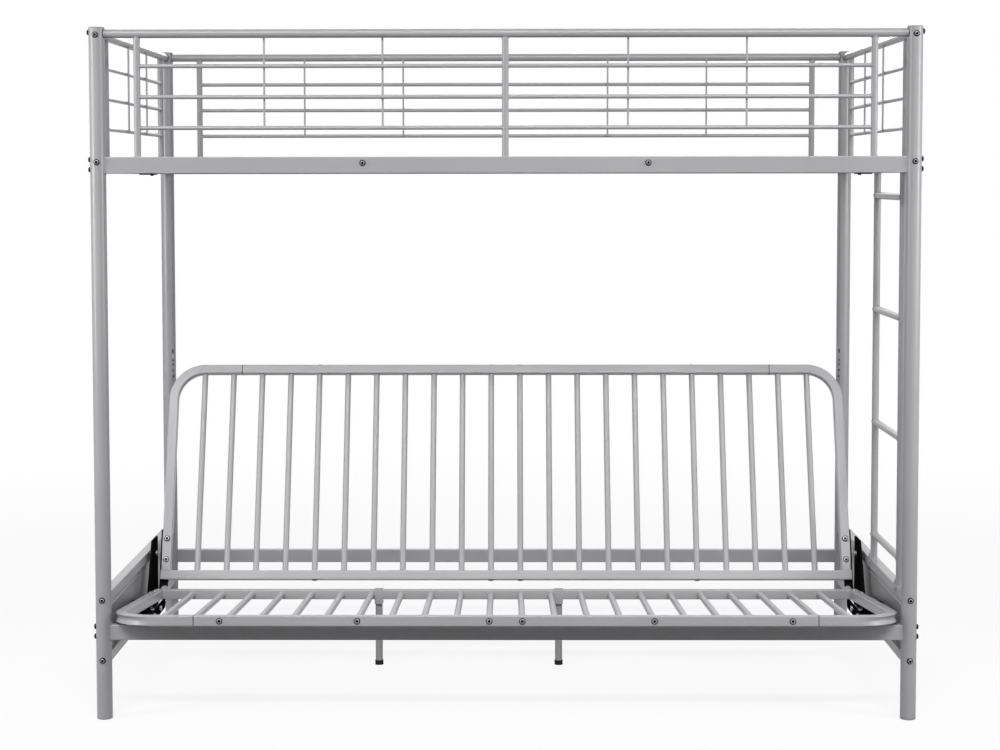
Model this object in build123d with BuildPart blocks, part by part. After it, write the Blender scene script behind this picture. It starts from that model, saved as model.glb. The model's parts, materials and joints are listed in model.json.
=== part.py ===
import os
from math import atan2, cos, degrees, hypot, radians, sin, sqrt, tan

from build123d import *

os.makedirs("parts", exist_ok=True)

# Metal bunk bed over a futon sofa. X runs along the bed, Y from the front to the rear,
# Z up from the floor. All sizes are in millimetres and all angles in degrees.

# Posts, their caps and feet
post_spacing_x = 1962
post_spacing_y = 960
frame_height = 1681
post_dia = 38
post_wall = 2
cap_head = 3
foot_head = 6
foot_plug = 18
cap_plug = 5
fit_slack = 0.2

# Frame bolts and the threaded blocks inside the rail ends
bolt_dia = 6
hole_slack = 0.6
head_dia = 13
head_height = 5.5
socket_size = 5
socket_depth = 3.2
nut_length = 14
nut_inset = 6
nut_round = 1

# Rails between the posts
rail_depth = 20
rail_wall = 1.5
rail_round = 2
bunk_rail_height = 40
bunk_rail_z = 1350
lower_rail_height = 37
lower_rail_bottom = 195
upper_bolt_rise = 13.5
lower_bolt_drop = 10.5
end_bolt_rise = 7.5
guard_bolt_offset = 3.3

# Guards round the upper bed
guard_top_z = 1665
guard_top_dia = 21
guard_wall = 1.2
guard_bar_dia = 10
guard_bar_wall = 1
guard_bar_drop = 77.5
guard_bar_pitch = 74
guard_bar_count = 3
upright_dia = 16
long_upright_inset = 96
end_upright_inset = 100
wire_dia = 5
wire_tail = 2
wire_top_drop = 3
wire_places_x = (295, 580)
end_wires = 2

# Upper deck
deck_slat_count = 22
deck_slat_pitch = 85.75
slat_dia = 16
slat_wall = 1.2
ledge_width = 24
ledge_height = 20
ledge_thick = 2
ledge_rise = 8
cross_support_x = 343
cross_support_width = 20
cross_support_height = 28
cross_bolt_rise = 5
clip_x = 860
clip_length = 40
clip_thick = 3
clip_bolt_inset = 9

# Ladder on the right end
ladder_inset = 100
ladder_width = 335
ladder_tube_dia = 18
ladder_wall = 1.5
rung_count = 4
first_rung_z = 375
rung_pitch = 298.6
ladder_strap_thick = 2
ladder_strap_width = 13
ladder_strap_length = 34
ladder_strap_seat = 1.5
small_head_dia = 8
small_head_height = 2.5

# Side panels below the ladder
panel_rail_size = 25
panel_rail_wall = 1.5
panel_top = 307
panel_bottom = 134
sheet_thick = 1.2

# Catch plates on the rear posts, turned from the inner side towards the front
catch_bottom = 732
catch_height = 93
catch_width = 10
catch_thick = 3
catch_lip = 2
catch_turn = 52

# Seat of the futon
seat_tube = 25
seat_wall = 1.5
seat_round = 2.5
seat_half_width = 937.5
seat_depth = 502
seat_tilt = 5
seat_inset = 446
seat_corner_radius = 87.5
seat_splay = 24
seat_foot_stand = 0.5
seat_joint_x = 752
joint_gap = 0.8
sleeve_length = 120
seat_rest_gap = 3.6
futon_slat_count = 22
futon_slat_pitch = 79.5
button_dia = 16
button_height = 2.2
button_shank_dia = 5
button_taper = 30
button_reach = 32
sleeve_bolt_x = 689.5
mid_bolt_slat = 4

# Backrest of the futon
back_lean = 19
back_inset = 516
back_z = 246
back_length = 570
back_half_width = 932
back_side_half_width = 931
back_corner_radius = 85
back_joint_x = 731
back_bolt_slat = 6
side_bolt_heights = (41.5, 98)
side_head_dia = 15
side_head_height = 4

# Centre legs under the rear seat rail
leg_places_x = (-338, 141)
leg_dia = 19
leg_wall = 1.5
leg_bottom = 21
leg_foot_height = 12
leg_foot_wall = 1.5
saddle_thick = 2
saddle_width = 22
saddle_drop = 12

# Travel from sofa to bed
slide_forward = 150
bed_rail_gap = 101

# Hinge and slide ironwork at each end, listed from the middle outwards
horn_x = 908.5
horn_thick = 4
horn_radius = 14
hinge_pin_dia = 8
hinge_head_dia = 14
hinge_head_height = 4
hinge_slack = 0.2
barrel_dia = 21
arm_x = 932
arm_thick = 3
arm_radius = 13
arm_top = 123
arm_front_share = 0.6
web_thick = 4
running_gap = 0.6
carriage_inner_x = 914
carriage_outer_x = 939.5
carriage_thick = 3
carriage_height = 28
carriage_drop = 28
carriage_front = 288
carriage_rear = 476
ear_width = 26
carriage_pin_dia = 10
carriage_pin_inset = (302, 391)
carriage_pin_lift = 2
carriage_head_dia = 14
carriage_head_height = 4
pin_head_dia = 15
pin_head_height = 3
guide_x = 957
guide_thick = 3
slot_slack = 1
guide_front = 132
guide_rear = 610
guide_nose_low = 188
guide_nose_high = 238
guide_shoulder = 235
guide_neck = (454, 202)
guide_top_front = 525
guide_top = 338
guide_heel = 300
window_place = (562, 303)
window_length = 46
window_width = 14
guide_bolt_inset = (330, 580)
spacer_dia = 14

# Places worked out from the sizes above
half_x = post_spacing_x / 2
head_sink = post_dia / 2 - sqrt((post_dia / 2) ** 2 - (head_dia / 2) ** 2)
head_stand = post_dia / 2 - head_sink + head_height
tilt = radians(seat_tilt)
lean = radians(back_lean)
button_face = button_dia / 2 - button_height * tan(radians(button_taper))
front_reach = (
    (seat_depth + seat_tube / 2 + button_height) * cos(tilt)
    + button_face * sin(tilt)
    - seat_inset
)
rear_reach = post_spacing_y + head_stand
front_y = (front_reach - rear_reach) / 2
rear_y = front_y + post_spacing_y
post_places = ((-half_x, front_y), (half_x, front_y), (-half_x, rear_y), (half_x, rear_y))
tube_bottom = foot_head
tube_top = frame_height - cap_head
bunk_top = bunk_rail_z + bunk_rail_height / 2
bunk_bottom = bunk_rail_z - bunk_rail_height / 2
lower_rail_z = lower_rail_bottom + lower_rail_height / 2
lower_rail_top = lower_rail_bottom + lower_rail_height
panel_top_z = panel_top - panel_rail_size / 2
panel_bottom_z = panel_bottom + panel_rail_size / 2
x_bolt_levels = (
    lower_rail_z - lower_bolt_drop,
    lower_rail_z + upper_bolt_rise,
    bunk_rail_z - lower_bolt_drop,
    bunk_rail_z + upper_bolt_rise,
    guard_top_z + guard_bolt_offset,
)
y_bolt_levels = (
    panel_bottom_z,
    panel_top_z,
    bunk_rail_z + end_bolt_rise,
    guard_top_z - guard_bolt_offset,
)
guard_bar_levels = [guard_top_z - guard_bar_drop - i * guard_bar_pitch for i in range(guard_bar_count)]
upright_x = half_x - long_upright_inset
end_upright_front = front_y + end_upright_inset
end_upright_rear = rear_y - end_upright_inset
futon_slat_places = [
    (i - (futon_slat_count - 1) / 2) * futon_slat_pitch for i in range(futon_slat_count)
]
slat_bolt_x = futon_slat_pitch / 2
mid_bolt_x = (mid_bolt_slat + 1 / 2) * futon_slat_pitch
back_bolt_x = (back_bolt_slat + 1 / 2) * futon_slat_pitch

# The seat rests just above the lower front rail, and the bed lies level at the same gap
seat_y = front_y + seat_inset
rail_rear_edge = front_y + rail_depth / 2
bed_z = lower_rail_top + seat_rest_gap + seat_tube / 2
seat_z = (
    lower_rail_top
    + seat_rest_gap
    + seat_tube / 2 / cos(tilt)
    - (seat_y - rail_rear_edge) * tan(tilt)
)
slide_rise = bed_z - seat_z
back_y = front_y + back_inset

# The backrest hinge is the one point of the tilted seat about which the backrest folds
# from its lean to level with the seat. Complex numbers stand for points with Y and Z.
seat_axle = complex(seat_y, seat_z)
back_foot = complex(back_y, back_z)
back_foot_in_bed = complex(seat_y + bed_rail_gap, seat_z)
seat_turn = complex(cos(tilt), sin(tilt))
back_turn = complex(sin(lean), -cos(lean))
back_axle = (
    back_foot_in_bed - seat_axle + seat_turn * seat_axle - back_turn * back_foot
) / (seat_turn - back_turn)
back_axle_y = back_axle.real
back_axle_z = back_axle.imag

seat_plane = Plane(origin=(0, seat_y, seat_z), x_dir=(1, 0, 0), z_dir=(0, sin(tilt), cos(tilt)))
back_plane = Plane(origin=(0, back_y, back_z), x_dir=(1, 0, 0), z_dir=(0, -cos(lean), sin(lean)))
axle_in_back = back_plane.to_local_coords(Vector(0, back_axle_y, back_axle_z))
carriage_z = seat_z - carriage_drop
carriage_pin_z = carriage_z + carriage_pin_lift

print("seat axle Y Z", round(seat_y, 2), round(seat_z, 2), "rise", round(slide_rise, 2))
print("back axle Y Z", round(back_axle_y, 2), round(back_axle_z, 2))
print("front post Y", round(front_y, 2), "bed level", round(bed_z, 2))


# Planes and small operations that many pieces share
def plane_along_x(x, y, z):
    return Plane(origin=(x, y, z), x_dir=(0, 1, 0), z_dir=(1, 0, 0))


def plane_along_y(x, y, z):
    return Plane(origin=(x, y, z), x_dir=(1, 0, 0), z_dir=(0, 1, 0))


def plane_along_z(x, y, z):
    return Plane(origin=(x, y, z), x_dir=(1, 0, 0), z_dir=(0, 0, 1))


def round_tube(plane, dia, wall, length):
    with BuildSketch(plane) as ring:
        Circle(dia / 2)
        Circle(dia / 2 - wall, mode=Mode.SUBTRACT)
    extrude(ring.sketch, amount=length, dir=plane.z_dir)


def round_rod(plane, dia, length, mode=Mode.ADD):
    with BuildSketch(plane) as disc:
        Circle(dia / 2)
    extrude(disc.sketch, amount=length, dir=plane.z_dir, mode=mode)


def box_section(width, height, wall, corner):
    RectangleRounded(width, height, corner)
    inner_corner = max(corner - wall, wall / 4)
    RectangleRounded(width - 2 * wall, height - 2 * wall, inner_corner, mode=Mode.SUBTRACT)


def box_tube(plane, width, height, wall, corner, length):
    with BuildSketch(plane) as section:
        box_section(width, height, wall, corner)
    extrude(section.sketch, amount=length, dir=plane.z_dir)


def plate_block(plane, width, height, thick, mode=Mode.ADD):
    with BuildSketch(plane) as outline:
        Rectangle(width, height)
    extrude(outline.sketch, amount=thick, dir=plane.z_dir, mode=mode)


def socket_bolt(plane, dia, head, rise, reach):
    round_rod(plane, head, rise)
    round_rod(plane, dia, -reach)
    with BuildSketch(plane.offset(rise)) as socket:
        RegularPolygon(socket_size / 2, 6)
    extrude(socket.sketch, amount=-socket_depth, dir=plane.z_dir, mode=Mode.SUBTRACT)


def button_bolt(plane, head, rise, dia, reach):
    with BuildSketch(plane) as base:
        Circle(head / 2)
    extrude(base.sketch, amount=rise, dir=plane.z_dir, taper=button_taper)
    round_rod(plane, dia, -reach)


def cope(envelope):
    add(envelope.part, mode=Mode.SUBTRACT)


# Outer shapes of the round tubes that others butt against
with BuildPart() as post_envelope:
    for place_x, place_y in post_places:
        round_rod(plane_along_z(place_x, place_y, 0), post_dia, frame_height)

with BuildPart() as guard_top_envelope:
    for place_y in (front_y, rear_y):
        round_rod(plane_along_x(-half_x, place_y, guard_top_z), guard_top_dia, post_spacing_x)
    for place_x in (-half_x, half_x):
        round_rod(plane_along_y(place_x, front_y, guard_top_z), guard_top_dia, post_spacing_y)

with BuildPart() as upright_envelope:
    for place_y in (front_y, rear_y):
        for place_x in (-upright_x, 0, upright_x):
            round_rod(plane_along_z(place_x, place_y, bunk_top), upright_dia, guard_top_z - bunk_top)
    for place_x in (-half_x, half_x):
        for place_y in (end_upright_front, end_upright_rear):
            round_rod(plane_along_z(place_x, place_y, bunk_top), upright_dia, guard_top_z - bunk_top)

# Posts with their bolt holes and the flats under the bolt heads
hole_dia = bolt_dia + hole_slack
for end_name, side_name, x_sign, y_sign, place_y in (
    ("front", "left", -1, -1, front_y),
    ("front", "right", 1, -1, front_y),
    ("rear", "left", -1, 1, rear_y),
    ("rear", "right", 1, 1, rear_y),
):
    place_x = x_sign * half_x
    with BuildPart() as post:
        round_tube(plane_along_z(place_x, place_y, tube_bottom), post_dia, post_wall, tube_top - tube_bottom)
        for level in x_bolt_levels:
            through = plane_along_x(place_x - post_dia, place_y, level)
            round_rod(through, hole_dia, 2 * post_dia, mode=Mode.SUBTRACT)
            seat_flat = place_x + x_sign * (post_dia / 2 - head_sink)
            round_rod(plane_along_x(seat_flat, place_y, level), head_dia, x_sign * post_dia, mode=Mode.SUBTRACT)
        for level in y_bolt_levels:
            through = plane_along_y(place_x, place_y - post_dia, level)
            round_rod(through, hole_dia, 2 * post_dia, mode=Mode.SUBTRACT)
            seat_flat = place_y + y_sign * (post_dia / 2 - head_sink)
            round_rod(plane_along_y(place_x, seat_flat, level), head_dia, y_sign * post_dia, mode=Mode.SUBTRACT)
    post.part.label = f"{end_name}_{side_name}_post"
    export_step(post.part, f"parts/{post.part.label}.step")

plug_dia = post_dia - 2 * post_wall - fit_slack
with BuildPart() as post_caps:
    for place_x, place_y in post_places:
        round_rod(plane_along_z(place_x, place_y, tube_top), post_dia, cap_head)
    cap_rims = post_caps.edges().filter_by(GeomType.CIRCLE).group_by(Axis.Z)[-1]
    fillet(cap_rims, cap_head * 2 / 3)
    for place_x, place_y in post_places:
        round_tube(plane_along_z(place_x, place_y, tube_top), plug_dia, post_wall, -cap_plug)
post_caps.part.label = "post_caps"
export_step(post_caps.part, "parts/post_caps.step")

with BuildPart() as post_feet:
    for place_x, place_y in post_places:
        round_rod(plane_along_z(place_x, place_y, 0), post_dia, foot_head)
    foot_rims = post_feet.edges().filter_by(GeomType.CIRCLE).group_by(Axis.Z)[0]
    fillet(foot_rims, foot_head / 3)
    for place_x, place_y in post_places:
        round_tube(plane_along_z(place_x, place_y, foot_head), plug_dia, post_wall, foot_plug)
post_feet.part.label = "post_feet"
export_step(post_feet.part, "parts/post_feet.step")

# Long rails, front and rear, upper and lower
rail_seats = (
    ("front_bunk_rail", front_y, bunk_rail_z, bunk_rail_height),
    ("rear_bunk_rail", rear_y, bunk_rail_z, bunk_rail_height),
    ("lower_front_rail", front_y, lower_rail_z, lower_rail_height),
    ("lower_rear_rail", rear_y, lower_rail_z, lower_rail_height),
)
for rail_name, place_y, place_z, height in rail_seats:
    with BuildPart() as long_rail:
        start = plane_along_x(-half_x, place_y, place_z)
        box_tube(start, rail_depth, height, rail_wall, rail_round, post_spacing_x)
        cope(post_envelope)
        if place_z == bunk_rail_z:
            for place_x in (-cross_support_x, cross_support_x):
                hole_plane = plane_along_y(place_x, place_y - rail_depth, place_z + cross_bolt_rise)
                round_rod(hole_plane, hole_dia, 2 * rail_depth, mode=Mode.SUBTRACT)
    long_rail.part.label = rail_name
    export_step(long_rail.part, f"parts/{rail_name}.step")

# End rails at deck height
for side_name, place_x in (("left", -half_x), ("right", half_x)):
    with BuildPart() as end_rail:
        start = plane_along_y(place_x, front_y, bunk_rail_z)
        box_tube(start, rail_depth, bunk_rail_height, rail_wall, rail_round, post_spacing_y)
        cope(post_envelope)
    end_rail.part.label = f"{side_name}_bunk_rail"
    export_step(end_rail.part, f"parts/{side_name}_bunk_rail.step")

# Top rails of the guards
for guard_name, place_y in (("front", front_y), ("rear", rear_y)):
    with BuildPart() as guard_top:
        round_tube(plane_along_x(-half_x, place_y, guard_top_z), guard_top_dia, guard_wall, post_spacing_x)
        cope(post_envelope)
    guard_top.part.label = f"{guard_name}_guard_top_rail"
    export_step(guard_top.part, f"parts/{guard_name}_guard_top_rail.step")

with BuildPart() as end_guard_top_rails:
    for place_x in (-half_x, half_x):
        round_tube(plane_along_y(place_x, front_y, guard_top_z), guard_top_dia, guard_wall, post_spacing_y)
    cope(post_envelope)
end_guard_top_rails.part.label = "end_guard_top_rails"
export_step(end_guard_top_rails.part, "parts/end_guard_top_rails.step")

# Uprights, bars and thin wires of the long guards
upright_height = guard_top_z - bunk_top
for guard_name, place_y in (("front", front_y), ("rear", rear_y)):
    with BuildPart() as uprights:
        for place_x in (-upright_x, 0, upright_x):
            round_tube(plane_along_z(place_x, place_y, bunk_top), upright_dia, guard_wall, upright_height)
        cope(guard_top_envelope)
    uprights.part.label = f"{guard_name}_guard_uprights"
    export_step(uprights.part, f"parts/{guard_name}_guard_uprights.step")

    with BuildPart() as bars:
        for level in guard_bar_levels:
            start = plane_along_x(-upright_x, place_y, level)
            round_tube(start, guard_bar_dia, guard_bar_wall, 2 * upright_x)
        cope(upright_envelope)
    bars.part.label = f"{guard_name}_guard_bars"
    export_step(bars.part, f"parts/{guard_name}_guard_bars.step")

wire_offset = (guard_bar_dia + wire_dia) / 2
wire_bottom = guard_bar_levels[-1] - wire_tail
wire_length = guard_top_z - wire_top_drop - wire_bottom
with BuildPart() as long_guard_wires:
    for place_y in (front_y + wire_offset, rear_y - wire_offset):
        for place_x in wire_places_x:
            for x_sign in (-1, 1):
                start = plane_along_z(x_sign * place_x, place_y, wire_bottom)
                round_rod(start, wire_dia, wire_length)
    cope(guard_top_envelope)
long_guard_wires.part.label = "long_guard_wires"
export_step(long_guard_wires.part, "parts/long_guard_wires.step")

# Uprights, bars and thin wires of the end guards
with BuildPart() as end_guard_uprights:
    for place_x in (-half_x, half_x):
        for place_y in (end_upright_front, end_upright_rear):
            round_tube(plane_along_z(place_x, place_y, bunk_top), upright_dia, guard_wall, upright_height)
    cope(guard_top_envelope)
end_guard_uprights.part.label = "end_guard_uprights"
export_step(end_guard_uprights.part, "parts/end_guard_uprights.step")

end_bay = end_upright_rear - end_upright_front
with BuildPart() as end_guard_bars:
    for place_x in (-half_x, half_x):
        for level in guard_bar_levels:
            start = plane_along_y(place_x, end_upright_front, level)
            round_tube(start, guard_bar_dia, guard_bar_wall, end_bay)
    cope(upright_envelope)
end_guard_bars.part.label = "end_guard_bars"
export_step(end_guard_bars.part, "parts/end_guard_bars.step")

with BuildPart() as end_guard_wires:
    for place_x in (wire_offset - half_x, half_x - wire_offset):
        for i in range(1, end_wires + 1):
            place_y = end_upright_front + i * end_bay / (end_wires + 1)
            round_rod(plane_along_z(place_x, place_y, wire_bottom), wire_dia, wire_length)
    cope(guard_top_envelope)
end_guard_wires.part.label = "end_guard_wires"
export_step(end_guard_wires.part, "parts/end_guard_wires.step")

# Upper deck: ledges along the long rails, slats across them and two bolted supports
ledge_front = front_y + rail_depth / 2
ledge_rear = rear_y - rail_depth / 2
ledge_bottom = bunk_bottom + ledge_rise
ledge_half_length = half_x - rail_depth
with BuildPart() as deck_ledges:
    for edge_y, inward in ((ledge_front, 1), (ledge_rear, -1)):
        flange = plane_along_x(-ledge_half_length, edge_y + inward * ledge_width / 2, ledge_bottom + ledge_thick / 2)
        plate_block(flange, ledge_width, ledge_thick, 2 * ledge_half_length)
        wall = plane_along_x(-ledge_half_length, edge_y + inward * ledge_thick / 2, ledge_bottom + ledge_height / 2)
        plate_block(wall, ledge_thick, ledge_height, 2 * ledge_half_length)
    for place_x in (-cross_support_x, cross_support_x):
        for edge_y in (ledge_front, ledge_rear):
            notch = plane_along_y(place_x, edge_y - ledge_width, bunk_rail_z + cross_bolt_rise)
            plate_block(notch, cross_support_width, cross_support_height, 2 * ledge_width, mode=Mode.SUBTRACT)
            hole = plane_along_y(place_x, edge_y - ledge_width, bunk_rail_z + cross_bolt_rise)
            round_rod(hole, hole_dia, 2 * ledge_width, mode=Mode.SUBTRACT)
deck_ledges.part.label = "deck_ledges"
export_step(deck_ledges.part, "parts/deck_ledges.step")

deck_slat_z = ledge_bottom + ledge_thick + slat_dia / 2
deck_slat_start = ledge_front + ledge_thick
deck_slat_length = ledge_rear - ledge_thick - deck_slat_start
with BuildPart() as deck_slats:
    for i in range(deck_slat_count):
        place_x = (i - (deck_slat_count - 1) / 2) * deck_slat_pitch
        round_tube(plane_along_y(place_x, deck_slat_start, deck_slat_z), slat_dia, slat_wall, deck_slat_length)
deck_slats.part.label = "deck_slats"
export_step(deck_slats.part, "parts/deck_slats.step")

with BuildPart() as deck_cross_supports:
    for place_x in (-cross_support_x, cross_support_x):
        start = plane_along_y(place_x, ledge_front, bunk_rail_z + cross_bolt_rise)
        box_tube(start, cross_support_width, cross_support_height, rail_wall, rail_round, ledge_rear - ledge_front)
deck_cross_supports.part.label = "deck_cross_supports"
export_step(deck_cross_supports.part, "parts/deck_cross_supports.step")

with BuildPart() as deck_corner_clips:
    for x_sign in (-1, 1):
        strip = plane_along_z(x_sign * clip_x, front_y, bunk_bottom)
        plate_block(strip, clip_length, rail_depth, -clip_thick)
        bolt_x = x_sign * (clip_x - clip_bolt_inset)
        head = plane_along_z(bolt_x, front_y, bunk_bottom - clip_thick)
        round_rod(head, small_head_dia, -small_head_height)
deck_corner_clips.part.label = "deck_corner_clips"
export_step(deck_corner_clips.part, "parts/deck_corner_clips.step")

# Ladder, its stiles flush with the inner face of the side panel
strap_x = half_x - panel_rail_size / 2
ladder_x = strap_x + ladder_tube_dia / 2
ladder_bottom = panel_top
ladder_top = bunk_bottom
ladder_front = front_y + ladder_inset
ladder_rear = ladder_front + ladder_width
with BuildPart() as ladder_stiles:
    for place_y in (ladder_front, ladder_rear):
        start = plane_along_z(ladder_x, place_y, ladder_bottom)
        round_tube(start, ladder_tube_dia, ladder_wall, ladder_top - ladder_bottom)
ladder_stiles.part.label = "ladder_stiles"
export_step(ladder_stiles.part, "parts/ladder_stiles.step")

with BuildPart() as stile_envelope:
    for place_y in (ladder_front, ladder_rear):
        start = plane_along_z(ladder_x, place_y, ladder_bottom)
        round_rod(start, ladder_tube_dia, ladder_top - ladder_bottom)

with BuildPart() as ladder_rungs:
    for i in range(rung_count):
        start = plane_along_y(ladder_x, ladder_front, first_rung_z + i * rung_pitch)
        round_tube(start, ladder_tube_dia, ladder_wall, ladder_width)
    cope(stile_envelope)
ladder_rungs.part.label = "ladder_rungs"
export_step(ladder_rungs.part, "parts/ladder_rungs.step")

with BuildPart() as ladder_straps:
    for place_y in (ladder_front, ladder_rear):
        strap = plane_along_x(strap_x, place_y, panel_top)
        plate_block(strap, ladder_strap_width, ladder_strap_length, -ladder_strap_thick)
        cradle = plane_along_x(strap_x, place_y, panel_top + ladder_strap_length / 4)
        plate_block(cradle, ladder_strap_width, ladder_strap_length / 2, ladder_strap_seat)
        for z_sign in (-1, 1):
            bolt_z = panel_top + z_sign * ladder_strap_length / 4
            head = plane_along_x(strap_x - ladder_strap_thick, place_y, bolt_z)
            round_rod(head, small_head_dia, -small_head_height)
    cope(stile_envelope)
ladder_straps.part.label = "ladder_straps"
export_step(ladder_straps.part, "parts/ladder_straps.step")

# Side panels: a top and a bottom rail with a steel sheet between them
for side_name, place_x in (("left", -half_x), ("right", half_x)):
    with BuildPart() as panel_rails:
        for level in (panel_bottom_z, panel_top_z):
            start = plane_along_y(place_x, front_y, level)
            box_tube(start, panel_rail_size, panel_rail_size, panel_rail_wall, rail_round, post_spacing_y)
        cope(post_envelope)
    panel_rails.part.label = f"{side_name}_panel_rails"
    export_step(panel_rails.part, f"parts/{side_name}_panel_rails.step")

sheet_height = panel_top - panel_bottom - 2 * panel_rail_size
with BuildPart() as side_panel_sheets:
    for place_x in (-half_x, half_x):
        start = plane_along_y(place_x, front_y, (panel_top + panel_bottom) / 2)
        plate_block(start, sheet_thick, sheet_height, post_spacing_y)
    cope(post_envelope)
side_panel_sheets.part.label = "side_panel_sheets"
export_step(side_panel_sheets.part, "parts/side_panel_sheets.step")

# Catch plates on the rear posts, each with a short lip at its top
catch_root = post_dia / 2 - catch_thick
catch_middle = catch_bottom + catch_height / 2
with BuildPart() as post_catches:
    for place_x, inward in ((-half_x, 1), (half_x, -1)):
        outward = Vector(inward * cos(radians(catch_turn)), -sin(radians(catch_turn)), 0)
        across = Vector(0, 0, 1).cross(outward)
        start = Plane(
            origin=Vector(place_x, rear_y, catch_middle) + outward * catch_root, x_dir=across, z_dir=outward
        )
        plate_block(start, catch_width, catch_height, 2 * catch_thick)
        with BuildSketch(start) as lip:
            with Locations((0, catch_height / 2 - catch_thick / 2)):
                Rectangle(catch_width, catch_thick)
        extrude(lip.sketch, amount=2 * catch_thick + catch_lip, dir=outward)
    cope(post_envelope)
post_catches.part.label = "post_catches"
export_step(post_catches.part, "parts/post_catches.step")

# Bolts through the posts into the rails, and through the long rails into the supports
bolt_reach = post_dia - head_sink + nut_inset + nut_length
cross_bolt_reach = rail_depth + nut_inset + nut_length
with BuildPart() as frame_bolts:
    for place_x, place_y in post_places:
        x_sign = 1 if place_x > 0 else -1
        y_sign = 1 if place_y > front_y else -1
        for level in x_bolt_levels:
            head_x = place_x + x_sign * (post_dia / 2 - head_sink)
            head_plane = Plane(origin=(head_x, place_y, level), x_dir=(0, 1, 0), z_dir=(x_sign, 0, 0))
            socket_bolt(head_plane, bolt_dia, head_dia, head_height, bolt_reach)
        for level in y_bolt_levels:
            head_y = place_y + y_sign * (post_dia / 2 - head_sink)
            head_plane = Plane(origin=(place_x, head_y, level), x_dir=(1, 0, 0), z_dir=(0, y_sign, 0))
            socket_bolt(head_plane, bolt_dia, head_dia, head_height, bolt_reach)
    for place_y, y_sign in ((front_y, -1), (rear_y, 1)):
        for place_x in (-cross_support_x, cross_support_x):
            head_plane = Plane(
                origin=(place_x, place_y + y_sign * rail_depth / 2, bunk_rail_z + cross_bolt_rise),
                x_dir=(1, 0, 0),
                z_dir=(0, y_sign, 0),
            )
            socket_bolt(head_plane, bolt_dia, head_dia, head_height, cross_bolt_reach)
frame_bolts.part.label = "frame_bolts"
export_step(frame_bolts.part, "parts/frame_bolts.step")

# Threaded blocks in the rail ends, one for each rail end, with the bolt holes through them
nut_stand = post_dia / 2 + nut_inset


def nut_block(plane, width, height, wall, length):
    with BuildSketch(plane) as outline:
        RectangleRounded(
            width - 2 * wall - fit_slack,
            height - 2 * wall - fit_slack,
            nut_round,
        )
    extrude(outline.sketch, amount=length, dir=plane.z_dir)


with BuildPart() as rail_end_nuts:
    for place_x, place_y in post_places:
        x_inward = -1 if place_x > 0 else 1
        y_inward = 1 if place_y == front_y else -1
        nut_x = place_x + x_inward * nut_stand
        nut_y = place_y + y_inward * nut_stand
        disc_dia = guard_top_dia - 2 * guard_wall - fit_slack
        round_rod(plane_along_x(nut_x, place_y, guard_top_z), disc_dia, x_inward * nut_length)
        round_rod(plane_along_y(place_x, nut_y, guard_top_z), disc_dia, y_inward * nut_length)
        for level, height in ((bunk_rail_z, bunk_rail_height), (lower_rail_z, lower_rail_height)):
            block = plane_along_x(nut_x, place_y, level)
            nut_block(block, rail_depth, height, rail_wall, x_inward * nut_length)
        block = plane_along_y(place_x, nut_y, bunk_rail_z)
        nut_block(block, rail_depth, bunk_rail_height, rail_wall, y_inward * nut_length)
        for level in (panel_bottom_z, panel_top_z):
            block = plane_along_y(place_x, nut_y, level)
            nut_block(block, panel_rail_size, panel_rail_size, panel_rail_wall, y_inward * nut_length)
    for place_y, y_inward in ((front_y, 1), (rear_y, -1)):
        for place_x in (-cross_support_x, cross_support_x):
            nut_y = place_y + y_inward * (rail_depth / 2 + nut_inset)
            block = plane_along_y(place_x, nut_y, bunk_rail_z + cross_bolt_rise)
            nut_block(block, cross_support_width, cross_support_height, rail_wall, y_inward * nut_length)
    for place_x, place_y in post_places:
        for level in x_bolt_levels:
            through = plane_along_x(place_x - 2 * nut_stand, place_y, level)
            round_rod(through, bolt_dia, 4 * nut_stand, mode=Mode.SUBTRACT)
        for level in y_bolt_levels:
            through = plane_along_y(place_x, place_y - 2 * nut_stand, level)
            round_rod(through, bolt_dia, 4 * nut_stand, mode=Mode.SUBTRACT)
    for place_x in (-cross_support_x, cross_support_x):
        through = plane_along_y(place_x, front_y - rail_depth, bunk_rail_z + cross_bolt_rise)
        round_rod(through, bolt_dia, post_spacing_y + 2 * rail_depth, mode=Mode.SUBTRACT)
rail_end_nuts.part.label = "rail_end_nuts"
export_step(rail_end_nuts.part, "parts/rail_end_nuts.step")


# Bent tube that turns the corner of the seat or backrest frame
def corner_tube(plane, x_sign, foot_x, head_x, foot_y, head_y, joint_x, radius, filled=False):
    with BuildLine(plane) as path:
        FilletPolyline(
            (x_sign * foot_x, foot_y),
            (x_sign * head_x, head_y),
            (x_sign * (joint_x + joint_gap / 2), head_y),
            radius=radius,
        )
    foot = plane.from_local_coords(Vector(x_sign * foot_x, foot_y, 0))
    head = plane.from_local_coords(Vector(x_sign * head_x, head_y, 0))
    start = Plane(origin=foot, x_dir=plane.z_dir, z_dir=head - foot)
    with BuildSketch(start) as section:
        if filled:
            RectangleRounded(seat_tube, seat_tube, seat_round)
        else:
            box_section(seat_tube, seat_tube, seat_wall, seat_round)
    sweep(section.sketch, path=path.line)


# Futon seat, drawn in its own tilted plane
def seat_point(x, y, z=0):
    return seat_plane.from_local_coords(Vector(x, y, z))


def seat_plane_along(x, y, direction):
    return Plane(origin=seat_point(x, y), x_dir=seat_plane.z_dir, z_dir=direction)


seat_side_x = seat_half_width - seat_tube / 2
seat_rear_face = seat_tube / 2
seat_hole_dia = button_shank_dia + hole_slack
seat_head_x = seat_side_x + seat_splay
seat_bend = (
    seat_side_x,
    seat_head_x,
    seat_rear_face + seat_foot_stand,
    -seat_depth,
    seat_joint_x,
    seat_corner_radius,
)
with BuildPart() as seat_corner_envelope:
    for x_sign in (-1, 1):
        corner_tube(seat_plane, x_sign, *seat_bend, filled=True)

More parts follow.
